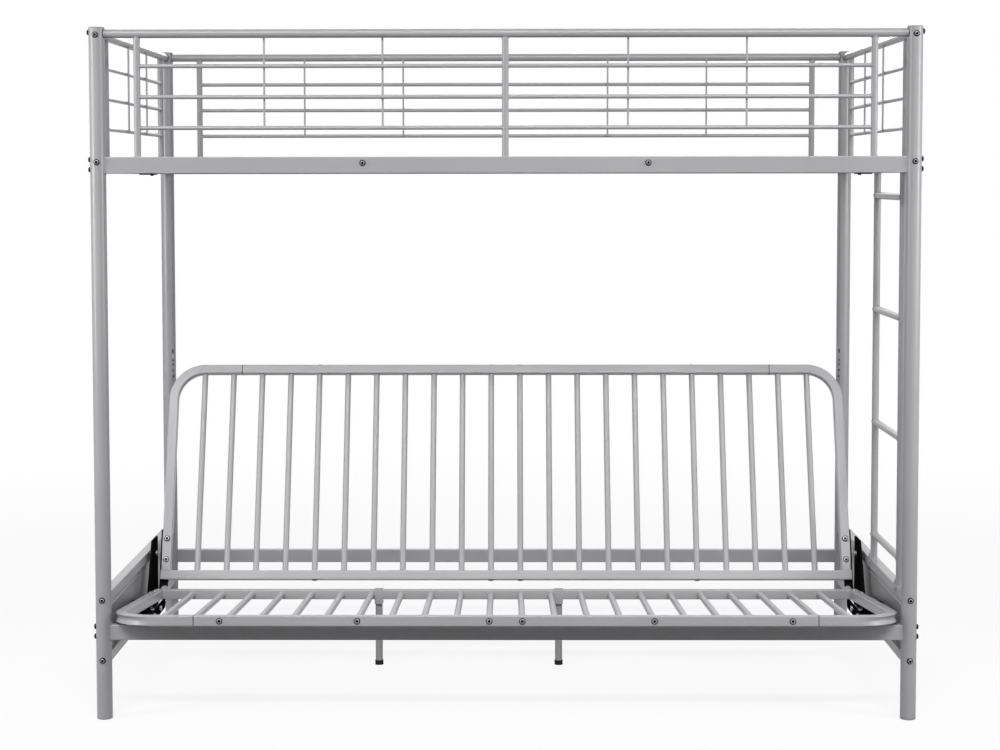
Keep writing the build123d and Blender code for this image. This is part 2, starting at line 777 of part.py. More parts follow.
with BuildPart() as seat_corner_tubes:
    for x_sign in (-1, 1):
        corner_tube(seat_plane, x_sign, *seat_bend)
    for x_sign in (-1, 1):
        axle_hole = plane_along_x(x_sign * (seat_side_x - seat_tube), seat_y, seat_z)
        round_rod(axle_hole, hinge_pin_dia, x_sign * 2 * seat_tube, mode=Mode.SUBTRACT)
seat_corner_tubes.part.label = "seat_corner_tubes"
export_step(seat_corner_tubes.part, "parts/seat_corner_tubes.step")

seat_front_bolts = (slat_bolt_x, mid_bolt_x, sleeve_bolt_x)
with BuildPart() as seat_front_rail:
    half_length = seat_joint_x - joint_gap / 2
    start = seat_plane_along(-half_length, -seat_depth, (1, 0, 0))
    box_tube(start, seat_tube, seat_tube, seat_wall, seat_round, 2 * half_length)
    for place_x in seat_front_bolts:
        for x_sign in (-1, 1):
            start = seat_plane_along(x_sign * place_x, -seat_depth - seat_tube, seat_plane.y_dir)
            round_rod(start, seat_hole_dia, 2 * seat_tube, mode=Mode.SUBTRACT)
seat_front_rail.part.label = "seat_front_rail"
export_step(seat_front_rail.part, "parts/seat_front_rail.step")

rear_rail_half = seat_side_x
with BuildPart() as seat_rear_rail:
    start = seat_plane_along(-rear_rail_half, 0, (1, 0, 0))
    box_tube(start, seat_tube, seat_tube, seat_wall, seat_round, 2 * rear_rail_half)
    for x_sign in (-1, 1):
        foot = seat_point(x_sign * seat_side_x, seat_rear_face + seat_foot_stand)
        head = seat_point(x_sign * seat_head_x, -seat_depth)
        side_tube = Plane(origin=foot, x_dir=seat_plane.z_dir, z_dir=head - foot)
        plate_block(side_tube, 2 * seat_tube, seat_tube, 2 * seat_tube, mode=Mode.SUBTRACT)
    for place_x in (slat_bolt_x, mid_bolt_x):
        for x_sign in (-1, 1):
            start = seat_plane_along(x_sign * place_x, -seat_tube, seat_plane.y_dir)
            round_rod(start, seat_hole_dia, 2 * seat_tube, mode=Mode.SUBTRACT)
seat_rear_rail.part.label = "seat_rear_rail"
export_step(seat_rear_rail.part, "parts/seat_rear_rail.step")

with BuildPart() as seat_slats:
    for place_x in futon_slat_places:
        start = seat_plane_along(place_x, seat_tube / 2 - seat_depth, seat_plane.y_dir)
        round_tube(start, slat_dia, slat_wall, seat_depth - seat_tube)
    cope(seat_corner_envelope)
seat_slats.part.label = "seat_slats"
export_step(seat_slats.part, "parts/seat_slats.step")

sleeve_size = seat_tube - 2 * seat_wall - fit_slack
with BuildPart() as seat_joint_sleeves:
    for x_sign in (-1, 1):
        start = seat_plane_along(x_sign * seat_joint_x - sleeve_length / 2, -seat_depth, (1, 0, 0))
        box_tube(start, sleeve_size, sleeve_size, seat_wall, seat_round - seat_wall, sleeve_length)
    for x_sign in (-1, 1):
        start = seat_plane_along(x_sign * sleeve_bolt_x, -seat_depth - seat_tube, seat_plane.y_dir)
        round_rod(start, seat_hole_dia, 2 * seat_tube, mode=Mode.SUBTRACT)
seat_joint_sleeves.part.label = "seat_joint_sleeves"
export_step(seat_joint_sleeves.part, "parts/seat_joint_sleeves.step")

with BuildPart() as seat_bolts:
    for place_x in seat_front_bolts:
        for x_sign in (-1, 1):
            head = seat_plane_along(x_sign * place_x, -seat_depth - seat_tube / 2, -seat_plane.y_dir)
            button_bolt(head, button_dia, button_height, button_shank_dia, button_reach)
    for place_x in (slat_bolt_x, mid_bolt_x):
        for x_sign in (-1, 1):
            head = seat_plane_along(x_sign * place_x, seat_tube / 2, seat_plane.y_dir)
            button_bolt(head, button_dia, button_height, button_shank_dia, button_reach)
seat_bolts.part.label = "seat_bolts"
export_step(seat_bolts.part, "parts/seat_bolts.step")

# Centre legs: a saddle over the rear seat rail, an upright tube under it and a rubber foot
rail_under_z = seat_z - seat_tube / 2 / cos(tilt) - seat_tube / 2 * sin(tilt)
with BuildPart() as seat_rail_envelope:
    start = seat_plane_along(-rear_rail_half, 0, (1, 0, 0))
    with BuildSketch(start) as outline:
        RectangleRounded(seat_tube, seat_tube, seat_round)
    extrude(outline.sketch, amount=2 * rear_rail_half, dir=Vector(1, 0, 0))

with BuildPart() as leg_saddles:
    for place_x in leg_places_x:
        start = seat_plane_along(place_x - saddle_width / 2, 0, (1, 0, 0))
        with BuildSketch(start) as outline:
            with Locations((-saddle_drop / 2 + saddle_thick / 2, 0)):
                Rectangle(seat_tube + saddle_drop + saddle_thick, seat_tube + 2 * saddle_thick)
        extrude(outline.sketch, amount=saddle_width, dir=Vector(1, 0, 0))
    cope(seat_rail_envelope)
    for place_x in leg_places_x:
        start = plane_along_z(place_x, seat_y, rail_under_z + seat_tube / 4)
        round_rod(start, leg_dia, leg_bottom - frame_height, mode=Mode.SUBTRACT)
leg_saddles.part.label = "leg_saddles"
export_step(leg_saddles.part, "parts/leg_saddles.step")

leg_start = leg_bottom + leg_foot_wall
with BuildPart() as centre_legs:
    for place_x in leg_places_x:
        start = plane_along_z(place_x, seat_y, leg_start)
        round_tube(start, leg_dia, leg_wall, seat_z - leg_start)
    cope(seat_rail_envelope)
centre_legs.part.label = "centre_legs"
export_step(centre_legs.part, "parts/centre_legs.step")

with BuildPart() as leg_feet:
    for place_x in leg_places_x:
        start = plane_along_z(place_x, seat_y, leg_bottom)
        round_rod(start, leg_dia + 2 * leg_foot_wall, leg_foot_height)
        round_rod(start.offset(leg_foot_wall), leg_dia, leg_foot_height, mode=Mode.SUBTRACT)
leg_feet.part.label = "leg_feet"
export_step(leg_feet.part, "parts/leg_feet.step")

# Horns behind the rear seat rail that carry the backrest hinge
with BuildPart() as seat_horns:
    for x_sign in (-1, 1):
        start = plane_along_x(x_sign * horn_x, 0, 0)
        root_high = seat_point(0, seat_rear_face, seat_tube / 2 - seat_round)
        root_low = seat_point(0, seat_rear_face, seat_round - seat_tube / 2)
        with BuildSketch(start) as outline:
            with BuildLine():
                Polyline(
                    (root_high.Y, root_high.Z),
                    (back_axle_y, back_axle_z + horn_radius),
                    (back_axle_y, back_axle_z - horn_radius),
                    (root_low.Y, root_low.Z),
                    close=True,
                )
            make_face()
            with Locations((back_axle_y, back_axle_z)):
                Circle(horn_radius)
                Circle(hinge_pin_dia / 2, mode=Mode.SUBTRACT)
        extrude(outline.sketch, amount=x_sign * horn_thick, dir=Vector(1, 0, 0))
seat_horns.part.label = "seat_horns"
export_step(seat_horns.part, "parts/seat_horns.step")

# Hinge pins: one through each horn for the backrest, one in each seat tube for the carriage
with BuildPart() as hinge_pins:
    for x_sign in (-1, 1):
        head = plane_along_x(x_sign * horn_x, back_axle_y, back_axle_z)
        round_rod(head, hinge_head_dia, -x_sign * hinge_head_height)
        pin_end = arm_x + arm_thick + arm_thick - horn_x
        round_rod(head, hinge_pin_dia, x_sign * pin_end)
        pin = plane_along_x(x_sign * (seat_half_width - seat_wall - hinge_head_height), seat_y, seat_z)
        pin_length = carriage_outer_x + 2 * carriage_thick - seat_half_width + seat_wall + hinge_head_height
        round_rod(pin, hinge_pin_dia, x_sign * pin_length)
        round_rod(pin, hinge_head_dia, x_sign * hinge_head_height)
hinge_pins.part.label = "hinge_pins"
export_step(hinge_pins.part, "parts/hinge_pins.step")


# Futon backrest, drawn in its own leaning plane
def back_point(x, y, z=0):
    return back_plane.from_local_coords(Vector(x, y, z))


def back_plane_along(x, y, z, direction):
    return Plane(origin=back_point(x, y, z), x_dir=back_plane.z_dir, z_dir=direction)


back_side_x = back_side_half_width - seat_tube / 2
back_bend = (
    back_side_x,
    back_side_x,
    seat_tube / 2,
    back_length,
    back_joint_x,
    back_corner_radius,
)
with BuildPart() as back_corner_envelope:
    for x_sign in (-1, 1):
        corner_tube(back_plane, x_sign, *back_bend, filled=True)

with BuildPart() as backrest_corner_tubes:
    for x_sign in (-1, 1):
        corner_tube(back_plane, x_sign, *back_bend)
    for x_sign in (-1, 1):
        for height in side_bolt_heights:
            start = Plane(
                origin=back_point(x_sign * back_side_x, height, -seat_tube),
                x_dir=(1, 0, 0),
                z_dir=back_plane.z_dir,
            )
            round_rod(start, hole_dia, 2 * seat_tube, mode=Mode.SUBTRACT)
backrest_corner_tubes.part.label = "backrest_corner_tubes"
export_step(backrest_corner_tubes.part, "parts/backrest_corner_tubes.step")

back_rail_bolts = (slat_bolt_x, back_bolt_x)
with BuildPart() as backrest_top_rail:
    half_length = back_joint_x - joint_gap / 2
    start = back_plane_along(-half_length, back_length, 0, (1, 0, 0))
    box_tube(start, seat_tube, seat_tube, seat_wall, seat_round, 2 * half_length)
    for place_x in back_rail_bolts:
        for x_sign in (-1, 1):
            start = back_plane_along(x_sign * place_x, back_length - seat_tube, 0, back_plane.y_dir)
            round_rod(start, seat_hole_dia, 2 * seat_tube, mode=Mode.SUBTRACT)
backrest_top_rail.part.label = "backrest_top_rail"
export_step(backrest_top_rail.part, "parts/backrest_top_rail.step")

with BuildPart() as backrest_bottom_rail:
    start = back_plane_along(-back_half_width, 0, 0, (1, 0, 0))
    box_tube(start, seat_tube, seat_tube, seat_wall, seat_round, 2 * back_half_width)
    for place_x in back_rail_bolts:
        for x_sign in (-1, 1):
            start = back_plane_along(x_sign * place_x, -seat_tube, 0, back_plane.y_dir)
            round_rod(start, seat_hole_dia, 2 * seat_tube, mode=Mode.SUBTRACT)
backrest_bottom_rail.part.label = "backrest_bottom_rail"
export_step(backrest_bottom_rail.part, "parts/backrest_bottom_rail.step")

with BuildPart() as backrest_slats:
    for place_x in futon_slat_places:
        start = back_plane_along(place_x, seat_tube / 2, 0, back_plane.y_dir)
        round_tube(start, slat_dia, slat_wall, back_length - seat_tube)
    cope(back_corner_envelope)
backrest_slats.part.label = "backrest_slats"
export_step(backrest_slats.part, "parts/backrest_slats.step")

with BuildPart() as backrest_joint_sleeves:
    for x_sign in (-1, 1):
        start = back_plane_along(x_sign * back_joint_x - sleeve_length / 2, back_length, 0, (1, 0, 0))
        box_tube(start, sleeve_size, sleeve_size, seat_wall, seat_round - seat_wall, sleeve_length)
backrest_joint_sleeves.part.label = "backrest_joint_sleeves"
export_step(backrest_joint_sleeves.part, "parts/backrest_joint_sleeves.step")

with BuildPart() as backrest_bolts:
    for x_sign in (-1, 1):
        for place_x in back_rail_bolts:
            head = back_plane_along(x_sign * place_x, back_length + seat_tube / 2, 0, back_plane.y_dir)
            button_bolt(head, button_dia, button_height, button_shank_dia, button_reach)
            head = back_plane_along(x_sign * place_x, -seat_tube / 2, 0, -back_plane.y_dir)
            button_bolt(head, button_dia, button_height, button_shank_dia, button_reach)
        for height in side_bolt_heights:
            head = Plane(
                origin=back_point(x_sign * back_side_x, height, seat_tube / 2),
                x_dir=(1, 0, 0),
                z_dir=back_plane.z_dir,
            )
            socket_bolt(head, bolt_dia, side_head_dia, side_head_height, seat_tube + 2 * arm_thick)
backrest_bolts.part.label = "backrest_bolts"
export_step(backrest_bolts.part, "parts/backrest_bolts.step")

# Angle arms of the backrest: a side leaf, a rear leaf behind the tube and a hinge barrel
barrel_start = horn_x + horn_thick + running_gap
arm_rear_z = -seat_tube / 2 - arm_thick
arm_front_z = seat_tube / 2 * arm_front_share
with BuildPart() as backrest_arms:
    for x_sign in (-1, 1):
        leaf = Plane(
            origin=back_point(x_sign * arm_x, 0),
            x_dir=back_plane.z_dir * -x_sign,
            z_dir=(x_sign, 0, 0),
        )
        axle_x = -x_sign * axle_in_back.Z
        with BuildSketch(leaf) as outline:
            with Locations((-x_sign * (arm_front_z + arm_rear_z) / 2, (arm_top + axle_in_back.Y) / 2)):
                Rectangle(arm_front_z - arm_rear_z, arm_top - axle_in_back.Y)
            with Locations((axle_x, axle_in_back.Y)):
                Circle(arm_radius)
        extrude(outline.sketch, amount=arm_thick, dir=Vector(x_sign, 0, 0))
        rear_leaf_width = arm_x + arm_thick - back_side_x + seat_tube / 4
        rear_leaf = Plane(
            origin=back_point(
                x_sign * (arm_x + arm_thick - rear_leaf_width / 2),
                (arm_top + seat_tube / 2) / 2,
                -seat_tube / 2,
            ),
            x_dir=(1, 0, 0),
            z_dir=-back_plane.z_dir,
        )
        plate_block(rear_leaf, rear_leaf_width, arm_top - seat_tube / 2, arm_thick)
        barrel = plane_along_x(x_sign * barrel_start, back_axle_y, back_axle_z)
        round_rod(barrel, barrel_dia, x_sign * (arm_x - barrel_start))
        web_low = axle_in_back.Y
        web_high = -seat_tube / 2
        web = Plane(
            origin=back_point(
                x_sign * (barrel_start + arm_x) / 2, (web_low + web_high) / 2, axle_in_back.Z - web_thick / 2
            ),
            x_dir=(1, 0, 0),
            z_dir=back_plane.z_dir,
        )
        plate_block(web, arm_x - barrel_start, web_high - web_low, web_thick)
        flange = Plane(
            origin=back_point(x_sign * (barrel_start + arm_x) / 2, -seat_tube / 2, 0),
            x_dir=(1, 0, 0),
            z_dir=-back_plane.y_dir,
        )
        plate_block(flange, arm_x - barrel_start, seat_tube - 2 * seat_round, arm_thick)
    for x_sign in (-1, 1):
        bore = plane_along_x(x_sign * horn_x, back_axle_y, back_axle_z)
        round_rod(bore, hinge_pin_dia + hinge_slack, x_sign * 2 * seat_tube, mode=Mode.SUBTRACT)
        for height in side_bolt_heights:
            start = Plane(
                origin=back_point(x_sign * back_side_x, height, -seat_tube),
                x_dir=(1, 0, 0),
                z_dir=back_plane.z_dir,
            )
            round_rod(start, hole_dia, seat_tube, mode=Mode.SUBTRACT)
backrest_arms.part.label = "backrest_arms"
export_step(backrest_arms.part, "parts/backrest_arms.step")

# Carriage that slides in the guide plates and carries the seat hinge
carriage_pin_places = [front_y + inset for inset in carriage_pin_inset]
bar_length = carriage_rear - carriage_front - carriage_height
bar_middle = front_y + (carriage_rear + carriage_front) / 2
with BuildPart() as carriage_inner_plates:
    for x_sign in (-1, 1):
        with BuildSketch(plane_along_x(x_sign * carriage_inner_x, 0, 0)) as outline:
            with Locations((bar_middle, carriage_z)):
                SlotCenterToCenter(bar_length, carriage_height)
            with Locations(*[(place_y, carriage_pin_z) for place_y in carriage_pin_places]):
                Circle(carriage_pin_dia / 2, mode=Mode.SUBTRACT)
        extrude(outline.sketch, amount=x_sign * carriage_thick, dir=Vector(1, 0, 0))
carriage_inner_plates.part.label = "carriage_inner_plates"
export_step(carriage_inner_plates.part, "parts/carriage_inner_plates.step")

with BuildPart() as carriage_outer_plates:
    for x_sign in (-1, 1):
        with BuildSketch(plane_along_x(x_sign * carriage_outer_x, 0, 0)) as outline:
            with Locations((bar_middle, carriage_z)):
                SlotCenterToCenter(bar_length, carriage_height)
            with Locations((seat_y, seat_z - carriage_drop / 2)):
                Rectangle(ear_width, carriage_drop)
            with Locations((seat_y, seat_z)):
                Circle(ear_width / 2)
                Circle((hinge_pin_dia + hinge_slack) / 2, mode=Mode.SUBTRACT)
            with Locations(*[(place_y, carriage_pin_z) for place_y in carriage_pin_places]):
                Circle(carriage_pin_dia / 2, mode=Mode.SUBTRACT)
        extrude(outline.sketch, amount=x_sign * carriage_thick, dir=Vector(1, 0, 0))
carriage_outer_plates.part.label = "carriage_outer_plates"
export_step(carriage_outer_plates.part, "parts/carriage_outer_plates.step")

pin_head_x = guide_x + guide_thick + running_gap
with BuildPart() as carriage_pins:
    for x_sign in (-1, 1):
        for place_y in carriage_pin_places:
            head = plane_along_x(x_sign * carriage_inner_x, place_y, carriage_pin_z)
            round_rod(head, carriage_head_dia, -x_sign * carriage_head_height)
            round_rod(head, carriage_pin_dia, x_sign * (pin_head_x - carriage_inner_x))
            outer_head = plane_along_x(x_sign * pin_head_x, place_y, carriage_pin_z)
            round_rod(outer_head, pin_head_dia, x_sign * pin_head_height)
carriage_pins.part.label = "carriage_pins"
export_step(carriage_pins.part, "parts/carriage_pins.step")

# Guide plates fixed to the side panels, with two parallel slots for the carriage pins
slot_length = hypot(slide_forward, slide_rise)
slot_angle = degrees(atan2(slide_rise, -slide_forward))
guide_outline = (
    (front_y + guide_front, guide_nose_low),
    (front_y + guide_front, guide_nose_high),
    (front_y + guide_shoulder, guide_nose_high),
    (front_y + guide_neck[0], guide_neck[1]),
    (front_y + guide_top_front, guide_top),
    (front_y + guide_rear, guide_top),
    (front_y + guide_rear, panel_bottom),
    (front_y + guide_heel, panel_bottom),
)
guide_bolt_places = (
    (front_y + guide_bolt_inset[0], panel_bottom_z),
    (front_y + guide_bolt_inset[1], panel_bottom_z),
    (front_y + guide_bolt_inset[1], panel_top_z),
)
with BuildPart() as guide_plates:
    for x_sign in (-1, 1):
        with BuildSketch(plane_along_x(x_sign * guide_x, 0, 0)) as outline:
            with BuildLine():
                Polyline(*guide_outline, close=True)
            make_face()
            fillet(outline.vertices(), panel_rail_size / 3)
            for place_y in carriage_pin_places:
                middle_y = place_y - slide_forward / 2
                middle_z = carriage_pin_z + slide_rise / 2
                with Locations(Location((middle_y, middle_z), slot_angle)):
                    SlotCenterToCenter(slot_length, carriage_pin_dia + slot_slack, mode=Mode.SUBTRACT)
            window_y = front_y + window_place[0]
            with Locations(Location((window_y, window_place[1]), degrees(lean) + 90)):
                SlotOverall(window_length, window_width, mode=Mode.SUBTRACT)
            with Locations(*guide_bolt_places):
                Circle(hole_dia / 2, mode=Mode.SUBTRACT)
        extrude(outline.sketch, amount=x_sign * guide_thick, dir=Vector(1, 0, 0))
guide_plates.part.label = "guide_plates"
export_step(guide_plates.part, "parts/guide_plates.step")

spacer_start = guide_x + guide_thick
panel_face = half_x - panel_rail_size / 2
with BuildPart() as guide_spacers:
    for x_sign in (-1, 1):
        for place_y, place_z in guide_bolt_places:
            start = plane_along_x(x_sign * spacer_start, place_y, place_z)
            wall = (spacer_dia - hole_dia) / 2
            round_tube(start, spacer_dia, wall, x_sign * (panel_face - spacer_start))
guide_spacers.part.label = "guide_spacers"
export_step(guide_spacers.part, "parts/guide_spacers.step")

with BuildPart() as guide_bolts:
    for x_sign in (-1, 1):
        for place_y, place_z in guide_bolt_places:
            head_plane = Plane(origin=(x_sign * guide_x, place_y, place_z), x_dir=(0, 1, 0), z_dir=(-x_sign, 0, 0))
            socket_bolt(head_plane, bolt_dia, head_dia, small_head_height + socket_depth, panel_face - guide_x)
guide_bolts.part.label = "guide_bolts"
export_step(guide_bolts.part, "parts/guide_bolts.step")
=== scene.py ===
import json
import math
import random

import bmesh
import bpy
from mathutils import Matrix, Vector


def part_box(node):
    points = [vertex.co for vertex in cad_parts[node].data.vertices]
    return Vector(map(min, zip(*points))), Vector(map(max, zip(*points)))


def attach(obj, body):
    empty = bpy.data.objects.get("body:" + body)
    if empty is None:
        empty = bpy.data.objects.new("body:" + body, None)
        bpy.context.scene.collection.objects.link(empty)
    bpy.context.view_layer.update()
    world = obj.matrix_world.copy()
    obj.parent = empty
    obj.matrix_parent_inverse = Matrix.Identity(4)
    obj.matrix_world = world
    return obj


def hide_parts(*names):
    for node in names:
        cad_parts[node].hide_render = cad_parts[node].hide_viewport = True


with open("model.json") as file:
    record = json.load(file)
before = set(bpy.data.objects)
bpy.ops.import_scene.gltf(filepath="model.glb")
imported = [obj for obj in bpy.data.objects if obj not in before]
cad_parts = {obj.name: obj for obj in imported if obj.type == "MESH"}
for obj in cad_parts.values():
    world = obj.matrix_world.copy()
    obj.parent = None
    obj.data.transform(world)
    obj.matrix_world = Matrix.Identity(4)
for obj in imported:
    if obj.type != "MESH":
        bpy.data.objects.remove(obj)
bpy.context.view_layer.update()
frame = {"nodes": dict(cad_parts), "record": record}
nodes = frame["nodes"]
print("frame loaded:", len(nodes), "nodes")


def addObject(name, data):
    thing = bpy.data.objects.new(name, data)
    bpy.context.scene.collection.objects.link(thing)
    return thing


# The camera stands in front of the sofa, at about the height of the bunk rails
cameraSet = {
    "place": (0.00118, -5.1445, 1.3217),
    "yaw": 0.411,
    "pitch": 3.247,
    "roll": -0.07,
    "lens": 70.02,
    "sensor": 36,
    "shift": (0.008, -0.088),
    "farClip": 60,
}


def makeCamera(s):
    data = bpy.data.cameras.new("camera")
    data.lens = s["lens"]
    data.sensor_width = s["sensor"]
    data.shift_x, data.shift_y = s["shift"]
    data.clip_end = s["farClip"]
    cam = addObject("camera", data)
    turn = (
        Matrix.Rotation(math.radians(s["yaw"]), 4, "Z")
        @ Matrix.Rotation(math.radians(90 - s["pitch"]), 4, "X")
        @ Matrix.Rotation(math.radians(s["roll"]), 4, "Z")
    )
    cam.matrix_world = Matrix.Translation(s["place"]) @ turn
    bpy.context.scene.camera = cam


makeCamera(cameraSet)
print("camera set")


# Small helpers for node trees
def newMaterial(name):
    mat = bpy.data.materials.new(name)
    mat.use_nodes = True
    mat.node_tree.nodes.clear()
    return mat, mat.node_tree


def addNode(tree, kind, place, **values):
    node = tree.nodes.new(kind)
    node.location = place
    for key, value in values.items():
        setattr(node, key, value)
    return node


def setInputs(node, values):
    for key, value in values.items():
        node.inputs[key].default_value = value


def newGroup(name, inputs, outputs):
    group = bpy.data.node_groups.new(name, "ShaderNodeTree")
    for label, kind, value in inputs:
        socket = group.interface.new_socket(label, in_out="INPUT", socket_type=kind)
        socket.default_value = value
    for label, kind in outputs:
        group.interface.new_socket(label, in_out="OUTPUT", socket_type=kind)
    start = addNode(group, "NodeGroupInput", (-900, 0))
    end = addNode(group, "NodeGroupOutput", (700, 0))
    return group, start, end


# Coat: faint orange peel, slow tone drift and a little dust, shared by all finishes
coatLook = {
    "driftScale": 3.5,
    "driftDetail": 3,
    "driftFrom": 0.3,
    "driftTo": 0.7,
    "peelDetail": 2,
    "speckScale": 240,
    "speckShare": 0.35,
    "dustFrom": 0.5,
    "dustTo": 1,
    "roughSpread": 0.12,
    "bumpDepth": 0.0002,
}


def makeCoatGroup(s):
    group, start, end = newGroup(
        "powderCoat",
        [
            ("Color", "NodeSocketColor", (0.5, 0.5, 0.5, 1)),
            ("Dust Color", "NodeSocketColor", (0.6, 0.58, 0.55, 1)),
            ("Roughness", "NodeSocketFloat", 0.4),
            ("Tone Drift", "NodeSocketFloat", 0.08),
            ("Dust", "NodeSocketFloat", 0.1),
            ("Peel Scale", "NodeSocketFloat", 420.0),
        ],
        [
            ("Color", "NodeSocketColor"),
            ("Roughness", "NodeSocketFloat"),
            ("Height", "NodeSocketFloat"),
        ],
    )
    link = group.links.new
    where = addNode(group, "ShaderNodeTexCoord", (-900, -300))
    slow = addNode(group, "ShaderNodeTexNoise", (-650, 250))
    setInputs(slow, {"Scale": s["driftScale"], "Detail": s["driftDetail"]})
    peel = addNode(group, "ShaderNodeTexNoise", (-650, -50))
    setInputs(peel, {"Detail": s["peelDetail"]})
    speck = addNode(group, "ShaderNodeTexVoronoi", (-650, -350))
    setInputs(speck, {"Scale": s["speckScale"]})
    for texture in (slow, peel, speck):
        link(where.outputs["Object"], texture.inputs["Vector"])
    link(start.outputs["Peel Scale"], peel.inputs["Scale"])

    # The tone drifts by half its range to either side of the given colour
    drift = addNode(group, "ShaderNodeMapRange", (-420, 250))
    setInputs(drift, {"From Min": s["driftFrom"], "From Max": s["driftTo"]})
    link(slow.outputs["Fac"], drift.inputs["Value"])
    half = addNode(group, "ShaderNodeMath", (-420, 480), operation="MULTIPLY_ADD")
    setInputs(half, {1: -0.5, 2: 1})
    link(start.outputs["Tone Drift"], half.inputs[0])
    low = addNode(group, "ShaderNodeMath", (-200, 480), operation="MULTIPLY_ADD")
    link(drift.outputs["Result"], low.inputs[0])
    link(start.outputs["Tone Drift"], low.inputs[1])
    link(half.outputs["Value"], low.inputs[2])
    toned = addNode(group, "ShaderNodeVectorMath", (0, 380), operation="SCALE")
    link(start.outputs["Color"], toned.inputs[0])
    link(low.outputs["Value"], toned.inputs["Scale"])

    # Dust settles on faces that look up, in the same slow patches
    upward = addNode(group, "ShaderNodeSeparateXYZ", (-420, -480))
    facing = addNode(group, "ShaderNodeNewGeometry", (-650, -620))
    link(facing.outputs["Normal"], upward.inputs["Vector"])
    settled = addNode(group, "ShaderNodeMapRange", (-200, -480))
    setInputs(settled, {"From Min": s["dustFrom"], "From Max": s["dustTo"]})
    link(upward.outputs["Z"], settled.inputs["Value"])
    dusty = addNode(group, "ShaderNodeMath", (0, -400), operation="MULTIPLY")
    link(settled.outputs["Result"], dusty.inputs[0])
    link(start.outputs["Dust"], dusty.inputs[1])
    patchy = addNode(group, "ShaderNodeMath", (180, -300), operation="MULTIPLY", use_clamp=True)
    link(dusty.outputs["Value"], patchy.inputs[0])
    link(drift.outputs["Result"], patchy.inputs[1])

    mixed = addNode(group, "ShaderNodeMix", (380, 250), data_type="RGBA")
    link(patchy.outputs["Value"], mixed.inputs["Factor"])
    link(toned.outputs["Vector"], mixed.inputs["A"])
    link(start.outputs["Dust Color"], mixed.inputs["B"])
    link(mixed.outputs["Result"], end.inputs["Color"])

    matt = addNode(group, "ShaderNodeMath", (380, 0), operation="MULTIPLY_ADD", use_clamp=True)
    setInputs(matt, {1: s["roughSpread"]})
    link(drift.outputs["Result"], matt.inputs[0])
    link(start.outputs["Roughness"], matt.inputs[2])
    link(matt.outputs["Value"], end.inputs["Roughness"])

    grains = addNode(group, "ShaderNodeMath", (180, -120), operation="MULTIPLY_ADD")
    setInputs(grains, {1: s["speckShare"]})
    link(speck.outputs["Distance"], grains.inputs[0])
    link(peel.outputs["Fac"], grains.inputs[2])
    link(grains.outputs["Value"], end.inputs["Height"])
    return group


coatGroup = makeCoatGroup(coatLook)


def paintMaterial(name, s):
    mat, tree = newMaterial(name)
    link = tree.links.new
    out = addNode(tree, "ShaderNodeOutputMaterial", (600, 0))
    skin = addNode(tree, "ShaderNodeBsdfPrincipled", (300, 0))
    setInputs(skin, {"Metallic": s["metallic"], "Specular IOR Level": s["specular"]})
    coat = addNode(tree, "ShaderNodeGroup", (-200, 0), node_tree=coatGroup)
    setInputs(
        coat,
        {
            "Color": (*s["color"], 1),
            "Dust Color": (*s["dustColor"], 1),
            "Roughness": s["roughness"],
            "Tone Drift": s["drift"],
            "Dust": s["dust"],
            "Peel Scale": s["peelScale"],
        },
    )
    bump = addNode(tree, "ShaderNodeBump", (80, -200))
    setInputs(bump, {"Strength": s["peel"], "Distance": coatLook["bumpDepth"]})
    link(coat.outputs["Color"], skin.inputs["Base Color"])
    link(coat.outputs["Roughness"], skin.inputs["Roughness"])
    link(coat.outputs["Height"], bump.inputs["Height"])
    link(bump.outputs["Normal"], skin.inputs["Normal"])
    link(skin.outputs["BSDF"], out.inputs["Surface"])
    return mat


silverCoat = {
    "color": (0.38, 0.373, 0.388),
    "dustColor": (0.45, 0.44, 0.44),
    "metallic": 0.06,
    "specular": 0.4,
    "roughness": 0.29,
    "drift": 0.08,
    "dust": 0.12,
    "peelScale": 420.0,
    "peel": 0.04,
}
blackCoat = {
    "color": (0.01, 0.01, 0.011),
    "dustColor": (0.03, 0.03, 0.03),
    "metallic": 0.0,
    "specular": 0.0,
    "roughness": 0.5,
    "drift": 0.2,
    "dust": 0.2,
    "peelScale": 500.0,
    "peel": 0.2,
}
rubberSkin = {
    "color": (0.012, 0.012, 0.012),
    "dustColor": (0.06, 0.058, 0.055),
    "metallic": 0.0,
    "specular": 0.2,
    "roughness": 0.6,
    "drift": 0.15,
    "dust": 0.3,
    "peelScale": 300.0,
    "peel": 0.3,
}
zincSkin = {
    "color": (0.32, 0.326, 0.338),
    "dustColor": (0.25, 0.25, 0.25),
    "metallic": 1.0,
    "specular": 0.5,
    "roughness": 0.29,
    "drift": 0.15,
    "dust": 0.1,
    "peelScale": 700.0,
    "peel": 0.15,
}
boltSkin = {
    "color": (0.006, 0.006, 0.0065),
    "dustColor": (0.03, 0.03, 0.03),
    "metallic": 0.0,
    "specular": 0.1,
    "roughness": 0.3,
    "drift": 0.2,
    "dust": 0.1,
    "peelScale": 700.0,
    "peel": 0.15,
}
capSkin = {
    "color": (0.36, 0.355, 0.365),
    "dustColor": (0.5, 0.49, 0.48),
    "metallic": 0.0,
    "specular": 0.3,
    "roughness": 0.45,
    "drift": 0.05,
    "dust": 0.2,
    "peelScale": 600.0,
    "peel": 0.2,
}
finishes = {
    "silver_paint": paintMaterial("silverCoat", silverCoat),
    "black_steel": paintMaterial("blackCoat", blackCoat),
    "black_rubber": paintMaterial("rubberFoot", rubberSkin),
    "zinc_steel": paintMaterial("zincPlate", zincSkin),
    "bolt_steel": paintMaterial("darkBolt", boltSkin),
    "cap_plastic": paintMaterial("postCap", capSkin),
}
for entry in frame["record"]["subparts"]:
    piece = nodes[entry["node"]]
    piece.data.materials.clear()
    piece.data.materials.append(finishes[entry["material_slot"]])
print("finishes given to the frame")


